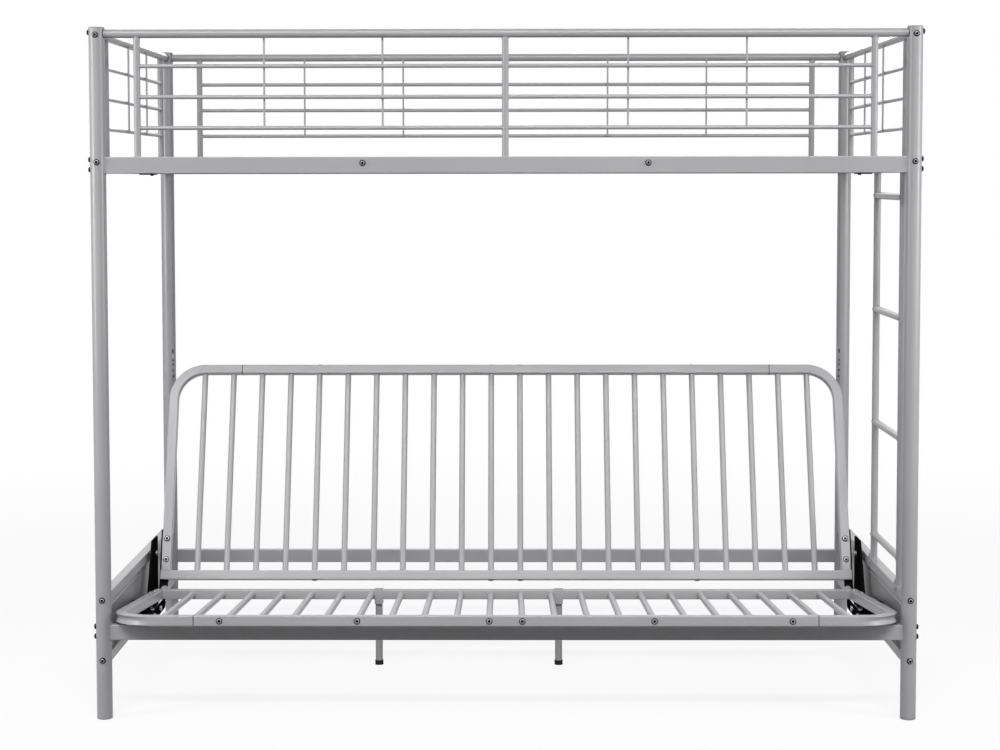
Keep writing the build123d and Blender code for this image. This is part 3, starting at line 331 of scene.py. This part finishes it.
# Helpers for the pieces that are made here
def closePiece(name, bm, body, slot, sharpAngle=35):
    mesh = bpy.data.meshes.new(name)
    bmesh.ops.recalc_face_normals(bm, faces=bm.faces)
    bm.to_mesh(mesh)
    bm.free()
    mesh.shade_smooth()
    mesh.set_sharp_from_angle(angle=math.radians(sharpAngle))
    mesh.materials.append(finishes[slot])
    piece = addObject(name, mesh)
    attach(piece, body)
    return piece


def middleOf(nodeName):
    low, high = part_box(nodeName)
    return (Vector(low) + Vector(high)) / 2


# Middle of a rail that runs from side to side, on the plane between left and right
def railMiddle(nodeName):
    middle = middleOf(nodeName)
    return Vector((0, middle.y, middle.z))


mergeWithin = 1e-6


# The separate solids inside one node, each as a list of its points
def solidsOf(nodeName):
    bm = bmesh.new()
    bm.from_mesh(nodes[nodeName].data)
    bmesh.ops.remove_doubles(bm, verts=bm.verts, dist=mergeWithin)
    seen = set()
    solids = []
    for first in bm.verts:
        if first in seen:
            continue
        seen.add(first)
        stack = [first]
        points = []
        while stack:
            vert = stack.pop()
            points.append(vert.co.copy())
            for edge in vert.link_edges:
                other = edge.other_vert(vert)
                if other not in seen:
                    seen.add(other)
                    stack.append(other)
        solids.append(points)
    bm.free()
    return solids


def reach(points, axis):
    values = [p.dot(axis) for p in points]
    return min(values), max(values)


def lengthAlong(points, axis):
    low, high = reach(points, axis)
    return high - low


def centreAlong(points, axis):
    return sum(reach(points, axis)) / 2


def crossAxes(axis):
    side = axis.orthogonal().normalized()
    return side, axis.cross(side)


def bridge(bm, low, high):
    for i in range(len(low)):
        j = (i + 1) % len(low)
        bm.faces.new((low[i], low[j], high[j], high[i]))


# A turned shape from pairs of radius and height; a radius may be a function of the turn
def spin(bm, profile, origin, axis, count=30):
    side, other = crossAxes(axis)
    rings = []
    for radius, height in profile:
        middle = origin + axis * height
        if radius == 0:
            rings.append([bm.verts.new(middle)])
            continue
        ring = []
        for i in range(count):
            turn = 2 * math.pi * i / count
            far = radius(turn) if callable(radius) else radius
            outward = side * math.cos(turn) + other * math.sin(turn)
            ring.append(bm.verts.new(middle + outward * far))
        rings.append(ring)
    for low, high in zip(rings, rings[1:]):
        if len(low) > 1 and len(high) > 1:
            bridge(bm, low, high)
            continue
        for i in range(count):
            j = (i + 1) % count
            if len(low) == 1:
                bm.faces.new((low[0], high[j], high[i]))
            else:
                bm.faces.new((low[i], low[j], high[0]))


# Axes and rail middles of the futon, read from the frame
alongX, alongY, alongZ = Vector((1, 0, 0)), Vector((0, 1, 0)), Vector((0, 0, 1))
seatRun = (middleOf("seat_rear_rail") - middleOf("seat_front_rail")).normalized()
backRun = (middleOf("backrest_top_rail") - middleOf("backrest_bottom_rail")).normalized()
seatUp = alongX.cross(seatRun)
backFace = alongX.cross(backRun)
seatRoot = railMiddle("seat_rear_rail")
seatFront = railMiddle("seat_front_rail")
backRoot = railMiddle("backrest_bottom_rail")
backTop = railMiddle("backrest_top_rail")

# Bolts: a black flange, a bright ring and a black hexagon socket
# Shares are of the head's radius
frameBolt = {
    "grow": 1.16,
    "flange": 0.0019,
    "ringShare": 0.66,
    "socketShare": 0.45,
    "depth": 0.003,
    "soften": 0.0007,
    "shank": 0.003,
}
slatBolt = {
    "grow": 1.0,
    "flange": 0.0008,
    "ringShare": 0.72,
    "socketShare": 0.44,
    "depth": 0.0014,
    "soften": 0.0004,
    "shank": 0.0025,
}
sideBolt = {
    "grow": 1.12,
    "flange": 0.0014,
    "ringShare": 0.74,
    "socketShare": 0.44,
    "depth": 0.0025,
    "soften": 0.0007,
    "shank": 0.003,
}
# Shape of a head between those sizes, and what counts as its rim and as lying along an axis
boltForm = {
    "dome": 0.6,
    "edgeIn": 0.7,
    "edgeDown": 0.3,
    "flatIn": 1.5,
    "rimFrom": 0.9,
    "aligned": 0.9,
}


def boltSeats(nodeName, axes):
    seats = []
    for points in solidsOf(nodeName):
        axis = max(axes, key=lambda a: lengthAlong(points, a))
        side, other = crossAxes(axis)
        centre = side * centreAlong(points, side) + other * centreAlong(points, other)
        radii = [(p - centre - axis * p.dot(axis)).length for p in points]
        widest = max(radii)
        rimFrom = boltForm["rimFrom"] * widest
        head = [p.dot(axis) for p, r in zip(points, radii) if r > rimFrom]
        low, high = reach(points, axis)
        outward = abs(high - max(head)) < abs(min(head) - low)
        out = axis if outward else -axis
        base = min(head) if outward else -max(head)
        top = high if outward else -low
        tail = low if outward else -high
        seats.append(
            {
                "base": centre + out * base,
                "axis": out,
                "radius": widest,
                "height": top - base,
                "tail": base - tail,
            }
        )
    return seats


def hexagon(apothem):
    def far(turn):
        return apothem / math.cos(turn % (math.pi / 3) - math.pi / 6)

    return far


def boltHead(bm, seat, s):
    edge = seat["radius"] * s["grow"]
    ring = edge * s["ringShare"]
    soft = s["soften"]
    top = seat["height"]
    dome = boltForm["dome"]
    profile = [
        (0, -seat["tail"]),
        (s["shank"], -seat["tail"]),
        (s["shank"], 0),
        (edge - soft, 0),
        (edge, soft),
        (edge, s["flange"] - soft / 2),
        (edge - soft, s["flange"]),
        (edge * (1 - dome) + ring * dome, s["flange"] * (1 - dome) + top * dome),
        (ring, top - soft),
    ]
    spin(bm, profile, seat["base"], seat["axis"])
    socket = hexagon(edge * s["socketShare"])
    hole = [(socket, top), (socket, top - s["depth"]), (0, top - s["depth"] - soft)]
    spin(bm, hole, seat["base"], seat["axis"])


def boltRing(bm, seat, s):
    edge = seat["radius"] * s["grow"]
    ring = edge * s["ringShare"]
    soft = s["soften"]
    top = seat["height"]
    profile = [
        (ring, top - soft),
        (ring - soft * boltForm["edgeIn"], top - soft * boltForm["edgeDown"]),
        (ring - soft * boltForm["flatIn"], top),
        (hexagon(edge * s["socketShare"]), top),
    ]
    spin(bm, profile, seat["base"], seat["axis"])


def makeBolts(name, nodeName, body, groups):
    heads = bmesh.new()
    rings = bmesh.new()
    for seats, s in groups:
        for seat in seats:
            boltHead(heads, seat, s)
            boltRing(rings, seat, s)
    piece = closePiece(name + "Heads", heads, body, "bolt_steel")
    closePiece(name + "Rings", rings, body, "zinc_steel")
    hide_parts(nodeName)


def runsAlong(seat, axis):
    return abs(seat["axis"].dot(axis)) > boltForm["aligned"]


frameSeats = boltSeats("frame_bolts", (alongX, alongY))
seatSeats = boltSeats("seat_bolts", (seatRun,))
backSeats = boltSeats("backrest_bolts", (backRun, backFace))
railSeats = [seat for seat in backSeats if runsAlong(seat, backRun)]
sideSeats = [seat for seat in backSeats if not runsAlong(seat, backRun)]
makeBolts("frameBolt", "frame_bolts", "frame", [(frameSeats, frameBolt)])
makeBolts("seatBolt", "seat_bolts", "seat", [(seatSeats, slatBolt)])
makeBolts(
    "backBolt",
    "backrest_bolts",
    "backrest",
    [(railSeats, slatBolt), (sideSeats, sideBolt)],
)
print("bolts made:", len(frameSeats) + len(seatSeats) + len(backSeats))

# Bright washers round the lower side bolts of the backrest
washer = {"inner": 0.0082, "outer": 0.0098, "thick": 0.0012, "bevel": 0.4, "sameLevel": 0.01}
washerProfile = [
    (washer["inner"], 0),
    (washer["outer"], 0),
    (washer["outer"], washer["thick"] * (1 - washer["bevel"])),
    (washer["outer"] - washer["thick"] * washer["bevel"], washer["thick"]),
    (washer["inner"], washer["thick"]),
]
washers = bmesh.new()
lowest = min(seat["base"].z for seat in sideSeats)
for seat in sideSeats:
    if seat["base"].z < lowest + washer["sameLevel"]:
        spin(washers, washerProfile, seat["base"], seat["axis"])
closePiece("sideWashers", washers, "backrest", "zinc_steel")

# The square tube of the seat and backrest
squareTube = {"side": 0.025, "wall": 0.0015, "round": 0.0025}

# Half-round lugs behind the seat's rear rail, and rivets on top of its side tubes
lug = {
    "x": 0.9132,
    "radius": 0.0095,
    "rise": 0.008,
    "foot": -0.006,
    "thick": 0.003,
    "soften": 0.0008,
    "steps": 12,
}
rivet = {
    "xPlaces": (0.927, 0.93, 0.936),
    "runPlaces": (-0.012, -0.045, -0.075),
    "lift": 0.0122,
    "root": -0.001,
    "collar": 0.0003,
    "radius": 0.0038,
    "height": 0.003,
    "domeTurns": (0, 0.5, 1.0),
    "sides": 16,
}
railHalf = squareTube["side"] / 2


def lugOutline(radius):
    top = railHalf + lug["rise"] - lug["radius"]
    outline = [(-radius, lug["foot"]), (radius, lug["foot"])]
    for i in range(lug["steps"] + 1):
        a = math.pi * i / lug["steps"]
        outline.append((radius * math.cos(a), top + radius * math.sin(a)))
    return outline


def lugRow(bm, root, depth):
    trim = lug["soften"] if depth == lug["thick"] else 0
    row = []
    for x, z in lugOutline(lug["radius"] - trim):
        row.append(bm.verts.new(root + alongX * x + seatUp * z + seatRun * depth))
    return row


def rivetProfile(s):
    dome = []
    for a in s["domeTurns"]:
        dome.append((s["radius"] * math.cos(a), s["height"] * math.sin(a) + s["collar"]))
    return [(s["radius"], s["root"]), *dome, (0, s["height"] + s["collar"])]


lugs = bmesh.new()
rivets = bmesh.new()
shoulder = lug["thick"] - lug["soften"]
for side in (-1, 1):
    root = seatRoot + alongX * side * lug["x"] + seatRun * railHalf
    for near, far in ((0, shoulder), (shoulder, lug["thick"])):
        low = lugRow(lugs, root, near)
        high = lugRow(lugs, root, far)
        bridge(lugs, low, high)
        lugs.faces.new(high if far == lug["thick"] else low)
    for x, run in zip(rivet["xPlaces"], rivet["runPlaces"]):
        spot = seatRoot + alongX * side * x + seatRun * run + seatUp * rivet["lift"]
        spin(rivets, rivetProfile(rivet), spot, seatUp, rivet["sides"])
closePiece("hingeLugs", lugs, "seat", "silver_paint")
closePiece("hingeRivets", rivets, "seat", "zinc_steel")

# Bent corner tubes of the seat and backrest, pinched where the bender pressed them
seatBend = {
    "radius": 0.0875,
    "footX": 0.925,
    "cornerX": 0.949,
    "footStand": -0.013,
    "jointX": 0.7524,
    "pinch": 0.0062,
    "lower": 0.14,
    "bulge": 0.0015,
}
backBend = {
    "radius": 0.085,
    "footX": 0.9185,
    "cornerX": 0.9185,
    "footStand": 0.0125,
    "jointX": 0.7314,
    "pinch": 0.0022,
    "lower": 0.05,
    "bulge": 0.0012,
}
bendForm = {
    "footSteps": 5,
    "arcSteps": 26,
    "jointSteps": 4,
    "pressPower": 0.8,
    "pinchPower": 1.5,
    "innerRound": 0.8,
    "sharpAngle": 40,
}


# Outline of a square tube with rounded edges, as pairs of outward and upward distances
def squareOutline(half, edge, perSide=9, perCorner=4):
    flat = half - edge
    side = [(half, -flat + 2 * flat * i / perSide) for i in range(perSide)]
    for i in range(perCorner):
        a = math.pi / 2 * i / perCorner
        side.append((flat + edge * math.cos(a), flat + edge * math.sin(a)))
    points = []
    for quarter in range(4):
        turn = quarter * math.pi / 2
        for out, up in side:
            turnedOut = out * math.cos(turn) - up * math.sin(turn)
            turnedUp = out * math.sin(turn) + up * math.cos(turn)
            points.append((turnedOut, turnedUp))
    return points


# Places along a bent tube, each with its outward direction and how hard it was pressed
def bendStations(foot, corner, joint, radius):
    first = (corner - foot).normalized()
    last = (joint - corner).normalized()
    turn = first.angle(last)
    start = corner - first * (radius * math.tan(turn / 2))
    inward = (last - first * last.dot(first)).normalized()
    centre = start + inward * radius
    stations = []
    for i in range(bendForm["footSteps"]):
        stations.append((foot.lerp(start, i / bendForm["footSteps"]), -inward, 0.0))
    for i in range(bendForm["arcSteps"] + 1):
        share = i / bendForm["arcSteps"]
        out = -inward * math.cos(turn * share) + first * math.sin(turn * share)
        press = math.sin(math.pi * share) ** bendForm["pressPower"]
        stations.append((centre + out * radius, out, press))
    end, lastOut = stations[-1][:2]
    for i in range(bendForm["jointSteps"]):
        stations.append((end.lerp(joint, (i + 1) / bendForm["jointSteps"]), lastOut, 0.0))
    return stations


# Under the press the outer face sinks, the inner face bulges and the height drops outwards
def pressPoint(out, up, size, press, s):
    flatShare = max(0.0, 1 - (up / size) ** 2)
    if out > 0:
        out -= press * s["pinch"] * flatShare ** bendForm["pinchPower"] * (out / size)
    else:
        out -= press * s["bulge"] * flatShare * (-out / size)
    up *= 1 - press * s["lower"] * (out / size + 1) / 2
    return out, up


def bentTube(bm, stations, upward, s):
    half = squareTube["side"] / 2
    edge = squareTube["round"]
    innerEdge = edge - squareTube["wall"] * bendForm["innerRound"]
    faces = []
    for size, rounding in ((half, edge), (half - squareTube["wall"], innerEdge)):
        outline = squareOutline(size, rounding)
        rings = []
        for point, outward, press in stations:
            ring = []
            for place in outline:
                out, up = pressPoint(*place, size, press, s)
                ring.append(bm.verts.new(point + outward * out + upward * up))
            rings.append(ring)
        for low, high in zip(rings, rings[1:]):
            bridge(bm, low, high)
        faces.append(rings)
    outer, inner = faces
    for end in (0, -1):
        bridge(bm, outer[end], inner[end])


def makeCornerTubes(name, nodeName, root, head, up, s, body):
    run = (head - root).normalized()
    bm = bmesh.new()
    for side in (-1, 1):
        foot = root + alongX * side * s["footX"] + run * s["footStand"]
        corner = head + alongX * side * s["cornerX"]
        joint = head + alongX * side * s["jointX"]
        bentTube(bm, bendStations(foot, corner, joint, s["radius"]), up, s)
    piece = closePiece(name, bm, body, "silver_paint", bendForm["sharpAngle"])
    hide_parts(nodeName)


makeCornerTubes(
    "seatCorners", "seat_corner_tubes", seatRoot, seatFront, seatUp, seatBend, "seat"
)
makeCornerTubes(
    "backCorners", "backrest_corner_tubes", backRoot, backTop, backFace, backBend, "backrest"
)
print("corner tubes bent")

# Painted shade: black bands that stand in for the shadowed gap where the corner tubes meet the
# middle rails
seamShade = {"seatX": 0.752, "backX": 0.731, "width": 0.0018, "proud": 0.00025, "round": 0.0026}


def makeSeamShades(name, middle, jointX, out, up, body):
    bm = bmesh.new()
    outline = squareOutline(squareTube["side"] / 2 + seamShade["proud"], seamShade["round"])
    for side in (-1, 1):
        rings = []
        for share in (-0.5, 0.5):
            base = middle + alongX * side * (jointX + share * seamShade["width"])
            rings.append([bm.verts.new(base + out * o + up * u) for o, u in outline])
        bridge(bm, *rings)
    # The black bands are painted shade in the joint gap
    closePiece(name, bm, body, "bolt_steel")


makeSeamShades("seatSeamShades", seatFront, seamShade["seatX"], seatRun, seatUp, "seat")
makeSeamShades("backSeamShades", backTop, seamShade["backX"], backRun, backFace, "backrest")

# Weld beads where tubes meet rails and other tubes
welds = {
    "bead": 0.0015,
    "sides": 5,
    "steps": 22,
    "waver": 0.16,
    "lobes": (7, 8, 9),
    "shorter": 0.002,
    "seed": 7,
}
seeded = random.Random(welds["seed"])


def weldBead(bm, centre, run, mateAxis, tubeRadius, mateRadius, bead):
    across = run.cross(mateAxis)
    phase = seeded.uniform(0, 2 * math.pi)
    lobes = seeded.choice(welds["lobes"])
    rings = []
    for i in range(welds["steps"]):
        turn = 2 * math.pi * i / welds["steps"]
        out = mateAxis * math.sin(turn) + across * math.cos(turn)
        sink = 0.0
        if mateRadius:
            sink = math.sqrt(max(0.0, mateRadius**2 - (tubeRadius * math.cos(turn)) ** 2))
        middle = centre + run * sink + out * tubeRadius
        size = bead * (1 + welds["waver"] * math.sin(lobes * turn + phase))
        ring = []
        for k in range(welds["sides"]):
            a = 2 * math.pi * k / welds["sides"]
            place = middle + out * size * math.cos(a) + run * size * math.sin(a)
            ring.append(bm.verts.new(place))
        rings.append(ring)
    for low, high in zip(rings, rings[1:] + rings[:1]):
        bridge(bm, low, high)


# The outer slats end in a bend at the seat's front and at the backrest's top
def cutEnd(nodeName, low, high):
    return low if nodeName == "seat_slats" else high


# Beads at both ends of each tube of a node; a mate's radius of 0 stands for a flat face
def weldNode(bm, nodeName, axis, mateAxis, lowRadius, highRadius, bead):
    other = axis.cross(mateAxis)
    solids = solidsOf(nodeName)
    longest = max(lengthAlong(points, axis) for points in solids)
    for points in solids:
        low, high = reach(points, axis)
        shorter = high - low < longest - welds["shorter"]
        radius = lengthAlong(points, mateAxis) / 2
        centre = mateAxis * centreAlong(points, mateAxis) + other * centreAlong(points, other)
        for end, run, mate in ((low, axis, lowRadius), (high, -axis, highRadius)):
            if mate == 0 and shorter and end == cutEnd(nodeName, low, high):
                continue
            sink = math.sqrt(max(0.0, mate**2 - radius**2)) if mate else 0.0
            weldBead(bm, centre + axis * end - run * sink, run, mateAxis, radius, mate, bead)


# Radius of what a tube's end is welded to
mates = {"upright": 0.008, "topRail": 0.0105, "stile": 0.009, "flat": 0}
# For each piece its body, how much larger its beads are, and its nodes with their axes and mates
weldPlan = {
    "guardWelds": (
        "frame",
        1,
        (
            ("front_guard_bars", alongX, alongZ, "upright", "upright"),
            ("rear_guard_bars", alongX, alongZ, "upright", "upright"),
            ("end_guard_bars", alongY, alongZ, "upright", "upright"),
            ("front_guard_uprights", alongZ, alongX, "flat", "topRail"),
            ("rear_guard_uprights", alongZ, alongX, "flat", "topRail"),
            ("end_guard_uprights", alongZ, alongY, "flat", "topRail"),
        ),
    ),
    "ladderWelds": (
        "frame",
        1.2,
        (
            ("ladder_rungs", alongY, alongZ, "stile", "stile"),
            ("ladder_stiles", alongZ, alongX, "flat", "flat"),
        ),
    ),
    "seatWelds": ("seat", 1.1, (("seat_slats", seatRun, alongX, "flat", "flat"),)),
    "backWelds": ("backrest", 1.1, (("backrest_slats", backRun, alongX, "flat", "flat"),)),
}
for name, (body, grow, runs) in weldPlan.items():
    beads = bmesh.new()
    for nodeName, axis, mateAxis, low, high in runs:
        weldNode(beads, nodeName, axis, mateAxis, mates[low], mates[high], welds["bead"] * grow)
    closePiece(name, beads, body, "silver_paint")

# Spot welds where the thin guard wires cross the bars
wireDot = {
    "out": 0.0022,
    "profile": ((0, -0.0032), (0.0028, -0.0012), (0.0034, 0.0008), (0, 0.003)),
    "sides": 10,
}
dots = bmesh.new()
guardBars = solidsOf("front_guard_bars")
barLevels = sorted({round(centreAlong(points, alongZ), 4) for points in guardBars})
for nodeName, across in (("long_guard_wires", alongY), ("end_guard_wires", alongX)):
    for points in solidsOf(nodeName):
        x, y = centreAlong(points, alongX), centreAlong(points, alongY)
        side = 1 if centreAlong(points, across) > middleOf(nodeName).dot(across) else -1
        for level in barLevels:
            spot = Vector((x, y, level)) + across * side * wireDot["out"]
            spin(dots, wireDot["profile"], spot, alongZ, wireDot["sides"])
closePiece("wireWelds", dots, "frame", "silver_paint")
print("welds laid")

# Painted shade: black beads that stand in for the shadowed joint where the guard's top rails meet
# the posts
railShadeBead = {"rail": 0.0106, "post": 0.019, "bead": 0.0009}
# From each post its rails run this way along x and y
postRuns = {
    "front_left_post": (1, 1),
    "front_right_post": (-1, 1),
    "rear_left_post": (1, -1),
    "rear_right_post": (-1, -1),
}
jointShadeBeads = bmesh.new()
jointShadeSizes = (railShadeBead["rail"], railShadeBead["post"], railShadeBead["bead"])
guardTop = middleOf("front_guard_top_rail").z
for nodeName, (across, deep) in postRuns.items():
    post = middleOf(nodeName)
    for run in (alongX * across, alongY * deep):
        weldBead(jointShadeBeads, Vector((post.x, post.y, guardTop)), run, alongZ, *jointShadeSizes)
# The black beads are painted shade at the rail and post joints
closePiece("railShadeBeads", jointShadeBeads, "frame", "bolt_steel")

# Pressed crease along the top of each side panel's sheet, on both of its faces
crease = {
    "level": 0.262,
    "half": 0.003,
    "proud": 0.002,
    "shares": (-1, -0.5, 0, 0.5, 1),
    "sheet": 0.0012,
    "margin": 0.004,
}
creases = bmesh.new()
sheetLow, sheetHigh = (Vector(c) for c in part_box("side_panel_sheets"))
for side, x in ((-1, sheetLow.x), (1, sheetHigh.x)):
    for out, face in ((-side, x - side * crease["sheet"]), (side, x)):
        rows = []
        for y in (sheetLow.y + crease["margin"], sheetHigh.y - crease["margin"]):
            row = []
            for share in crease["shares"]:
                lift = crease["proud"] * (1 - share * share)
                level = crease["level"] + share * crease["half"]
                row.append(creases.verts.new(Vector((face + out * lift, y, level))))
            rows.append(row)
        near, far = rows
        for i in range(len(near) - 1):
            creases.faces.new((near[i], near[i + 1], far[i + 1], far[i]))
closePiece("panelCreases", creases, "frame", "silver_paint")

# Small hooks pressed out of each catch plate: black slots as painted shade, and bright bumps
# Shares are of the plate's height, and the first hook may have its own length
catchSlotShade = {
    "shares": (0.9, 0.62, 0.48, 0.3, 0.12),
    "radius": 0.0019,
    "half": 0.004,
    "firstHalf": 0.0065,
}
catchBump = {
    "shares": (0.72, 0.55, 0.39, 0.21),
    "radius": 0.0022,
    "half": 0.0034,
    "firstHalf": 0.0034,
}
hookForm = {"shoulder": 0.8, "sides": 10, "lipCorners": 4}


def hookProfile(radius, half):
    wide, high = radius * hookForm["shoulder"], half * hookForm["shoulder"]
    return [(0, -half), (wide, -high), (radius, 0), (wide, high), (0, half)]


slotShades = bmesh.new()
bumps = bmesh.new()
rearPosts = [middleOf("rear_left_post"), middleOf("rear_right_post")]
for points in solidsOf("post_catches"):
    middle = Vector([centreAlong(points, axis) for axis in (alongX, alongY, alongZ)])
    post = min(rearPosts, key=lambda p: abs(p.x - middle.x))
    out = Vector((middle.x - post.x, middle.y - post.y, 0)).normalized()
    bottom, top = reach(points, alongZ)
    # The farthest points are the corners of the lip, and the next one is on the face
    distances = sorted(p.dot(out) for p in points)
    face = distances[-1 - hookForm["lipCorners"]] - middle.dot(out)
    for bm, s in ((slotShades, catchSlotShade), (bumps, catchBump)):
        for i, share in enumerate(s["shares"]):
            half = s["firstHalf"] if i == 0 else s["half"]
            level = bottom + (top - bottom) * share
            base = Vector((middle.x, middle.y, level)) + out * face
            spin(bm, hookProfile(s["radius"], half), base, alongZ, hookForm["sides"])
# The black slots are painted shade in the hook openings
closePiece("catchSlotShades", slotShades, "frame", "bolt_steel")
closePiece("catchBumps", bumps, "frame", "zinc_steel")
print("small trim made")

# Floor, world and lights
studio = {
    "floorSize": 60.0,
    "floorGlow": 0.86,
    "floorTone": 0.9,
    "floorBounce": 0.12,
    "fadeFrom": 1.4,
    "fadeTo": 4.5,
    "worldLight": 0.07,
}
lights = (
    {
        "name": "leftSoftbox",
        "place": (-3.2, -1.6, 1.6),
        "target": (-0.6, 0, 1.0),
        "size": (0.7, 1.9),
        "power": 46.0,
    },
    {
        "name": "rightSoftbox",
        "place": (3.2, -1.6, 1.6),
        "target": (0.6, 0, 1.0),
        "size": (0.7, 1.9),
        "power": 46.0,
    },
    {
        "name": "topSoftbox",
        "place": (0, -3.8, 3.9),
        "target": (0, 0, 0.2),
        "size": (5.0, 0.6),
        "power": 38.0,
        "spread": 64,
    },
    {
        "name": "frontFill",
        "place": (0, -5.6, 1.6),
        "target": (0, 0, 0.8),
        "size": (3.0, 1.2),
        "power": 2.0,
    },
    {
        "name": "rearFill",
        "place": (0, 4.2, 2.9),
        "target": (0, 0, 0.8),
        "size": (4.0, 1.2),
        "power": 80.0,
    },
)


def grey(tone):
    return (tone, tone, tone, 1)


# The rays that see a white background: those from the camera and the mirrored ones
def seenRays(tree, x, y):
    rays = addNode(tree, "ShaderNodeLightPath", (x, y))
    seen = addNode(tree, "ShaderNodeMath", (x + 200, y), operation="MAXIMUM")
    tree.links.new(rays.outputs["Is Camera Ray"], seen.inputs[0])
    tree.links.new(rays.outputs["Is Glossy Ray"], seen.inputs[1])
    return rays, seen


def makeFloor(s):
    mat, tree = newMaterial("studioFloor")
    link = tree.links.new
    out = addNode(tree, "ShaderNodeOutputMaterial", (800, 0))
    matt = addNode(tree, "ShaderNodeBsdfDiffuse", (200, 0))
    glow = addNode(tree, "ShaderNodeEmission", (200, -200))
    rays, seen = seenRays(tree, -400, 400)
    tone = addNode(tree, "ShaderNodeMix", (0, 0), data_type="RGBA")
    setInputs(tone, {"A": grey(s["floorBounce"]), "B": grey(s["floorTone"])})
    link(rays.outputs["Is Camera Ray"], tone.inputs["Factor"])
    link(tone.outputs["Result"], matt.inputs["Color"])
    where = addNode(tree, "ShaderNodeTexCoord", (-800, 100))
    far = addNode(tree, "ShaderNodeVectorMath", (-600, 100), operation="LENGTH")
    link(where.outputs["Object"], far.inputs[0])
    fade = addNode(tree, "ShaderNodeMapRange", (-400, 100), interpolation_type="SMOOTHSTEP")
    setInputs(fade, {"From Min": s["fadeFrom"], "From Max": s["fadeTo"], "To Min": s["floorGlow"]})
    link(far.outputs["Value"], fade.inputs["Value"])
    share = addNode(tree, "ShaderNodeMath", (200, 300), operation="MULTIPLY")
    link(seen.outputs["Value"], share.inputs[0])
    link(fade.outputs["Result"], share.inputs[1])
    mix = addNode(tree, "ShaderNodeMixShader", (500, 0))
    link(share.outputs["Value"], mix.inputs["Fac"])
    link(matt.outputs["BSDF"], mix.inputs[1])
    link(glow.outputs["Emission"], mix.inputs[2])
    link(mix.outputs["Shader"], out.inputs["Surface"])
    half = s["floorSize"] / 2
    corners = [(-half, -half, 0), (half, -half, 0), (half, half, 0), (-half, half, 0)]
    mesh = bpy.data.meshes.new("floor")
    mesh.from_pydata(corners, [], [(0, 1, 2, 3)])
    mesh.materials.append(mat)
    addObject("floor", mesh)


def makeWorld(s):
    world = bpy.data.worlds.new("studio")
    bpy.context.scene.world = world
    world.use_nodes = True
    tree = world.node_tree
    tree.nodes.clear()
    link = tree.links.new
    out = addNode(tree, "ShaderNodeOutputWorld", (600, 0))
    soft = addNode(tree, "ShaderNodeBackground", (0, 0))
    setInputs(soft, {"Color": grey(1), "Strength": s["worldLight"]})
    white = addNode(tree, "ShaderNodeBackground", (0, -200))
    setInputs(white, {"Color": grey(1)})
    seen = seenRays(tree, -400, 300)[1]
    mix = addNode(tree, "ShaderNodeMixShader", (400, 0))
    link(seen.outputs["Value"], mix.inputs["Fac"])
    link(soft.outputs["Background"], mix.inputs[1])
    link(white.outputs["Background"], mix.inputs[2])
    link(mix.outputs["Shader"], out.inputs["Surface"])


def areaLight(name, place, target, size, power, spread=180):
    data = bpy.data.lights.new(name, "AREA")
    data.shape = "RECTANGLE"
    data.size, data.size_y = size
    data.energy = power
    data.spread = math.radians(spread)
    lamp = addObject(name, data)
    lamp.location = place
    aim = Vector(target) - Vector(place)
    lamp.rotation_euler = aim.to_track_quat("-Z", "Y").to_euler()
    lamp.visible_camera = False


makeFloor(studio)
makeWorld(studio)
for light in lights:
    areaLight(**light)
bpy.context.scene.view_settings.view_transform = "Standard"
print("floor, world and lights set")
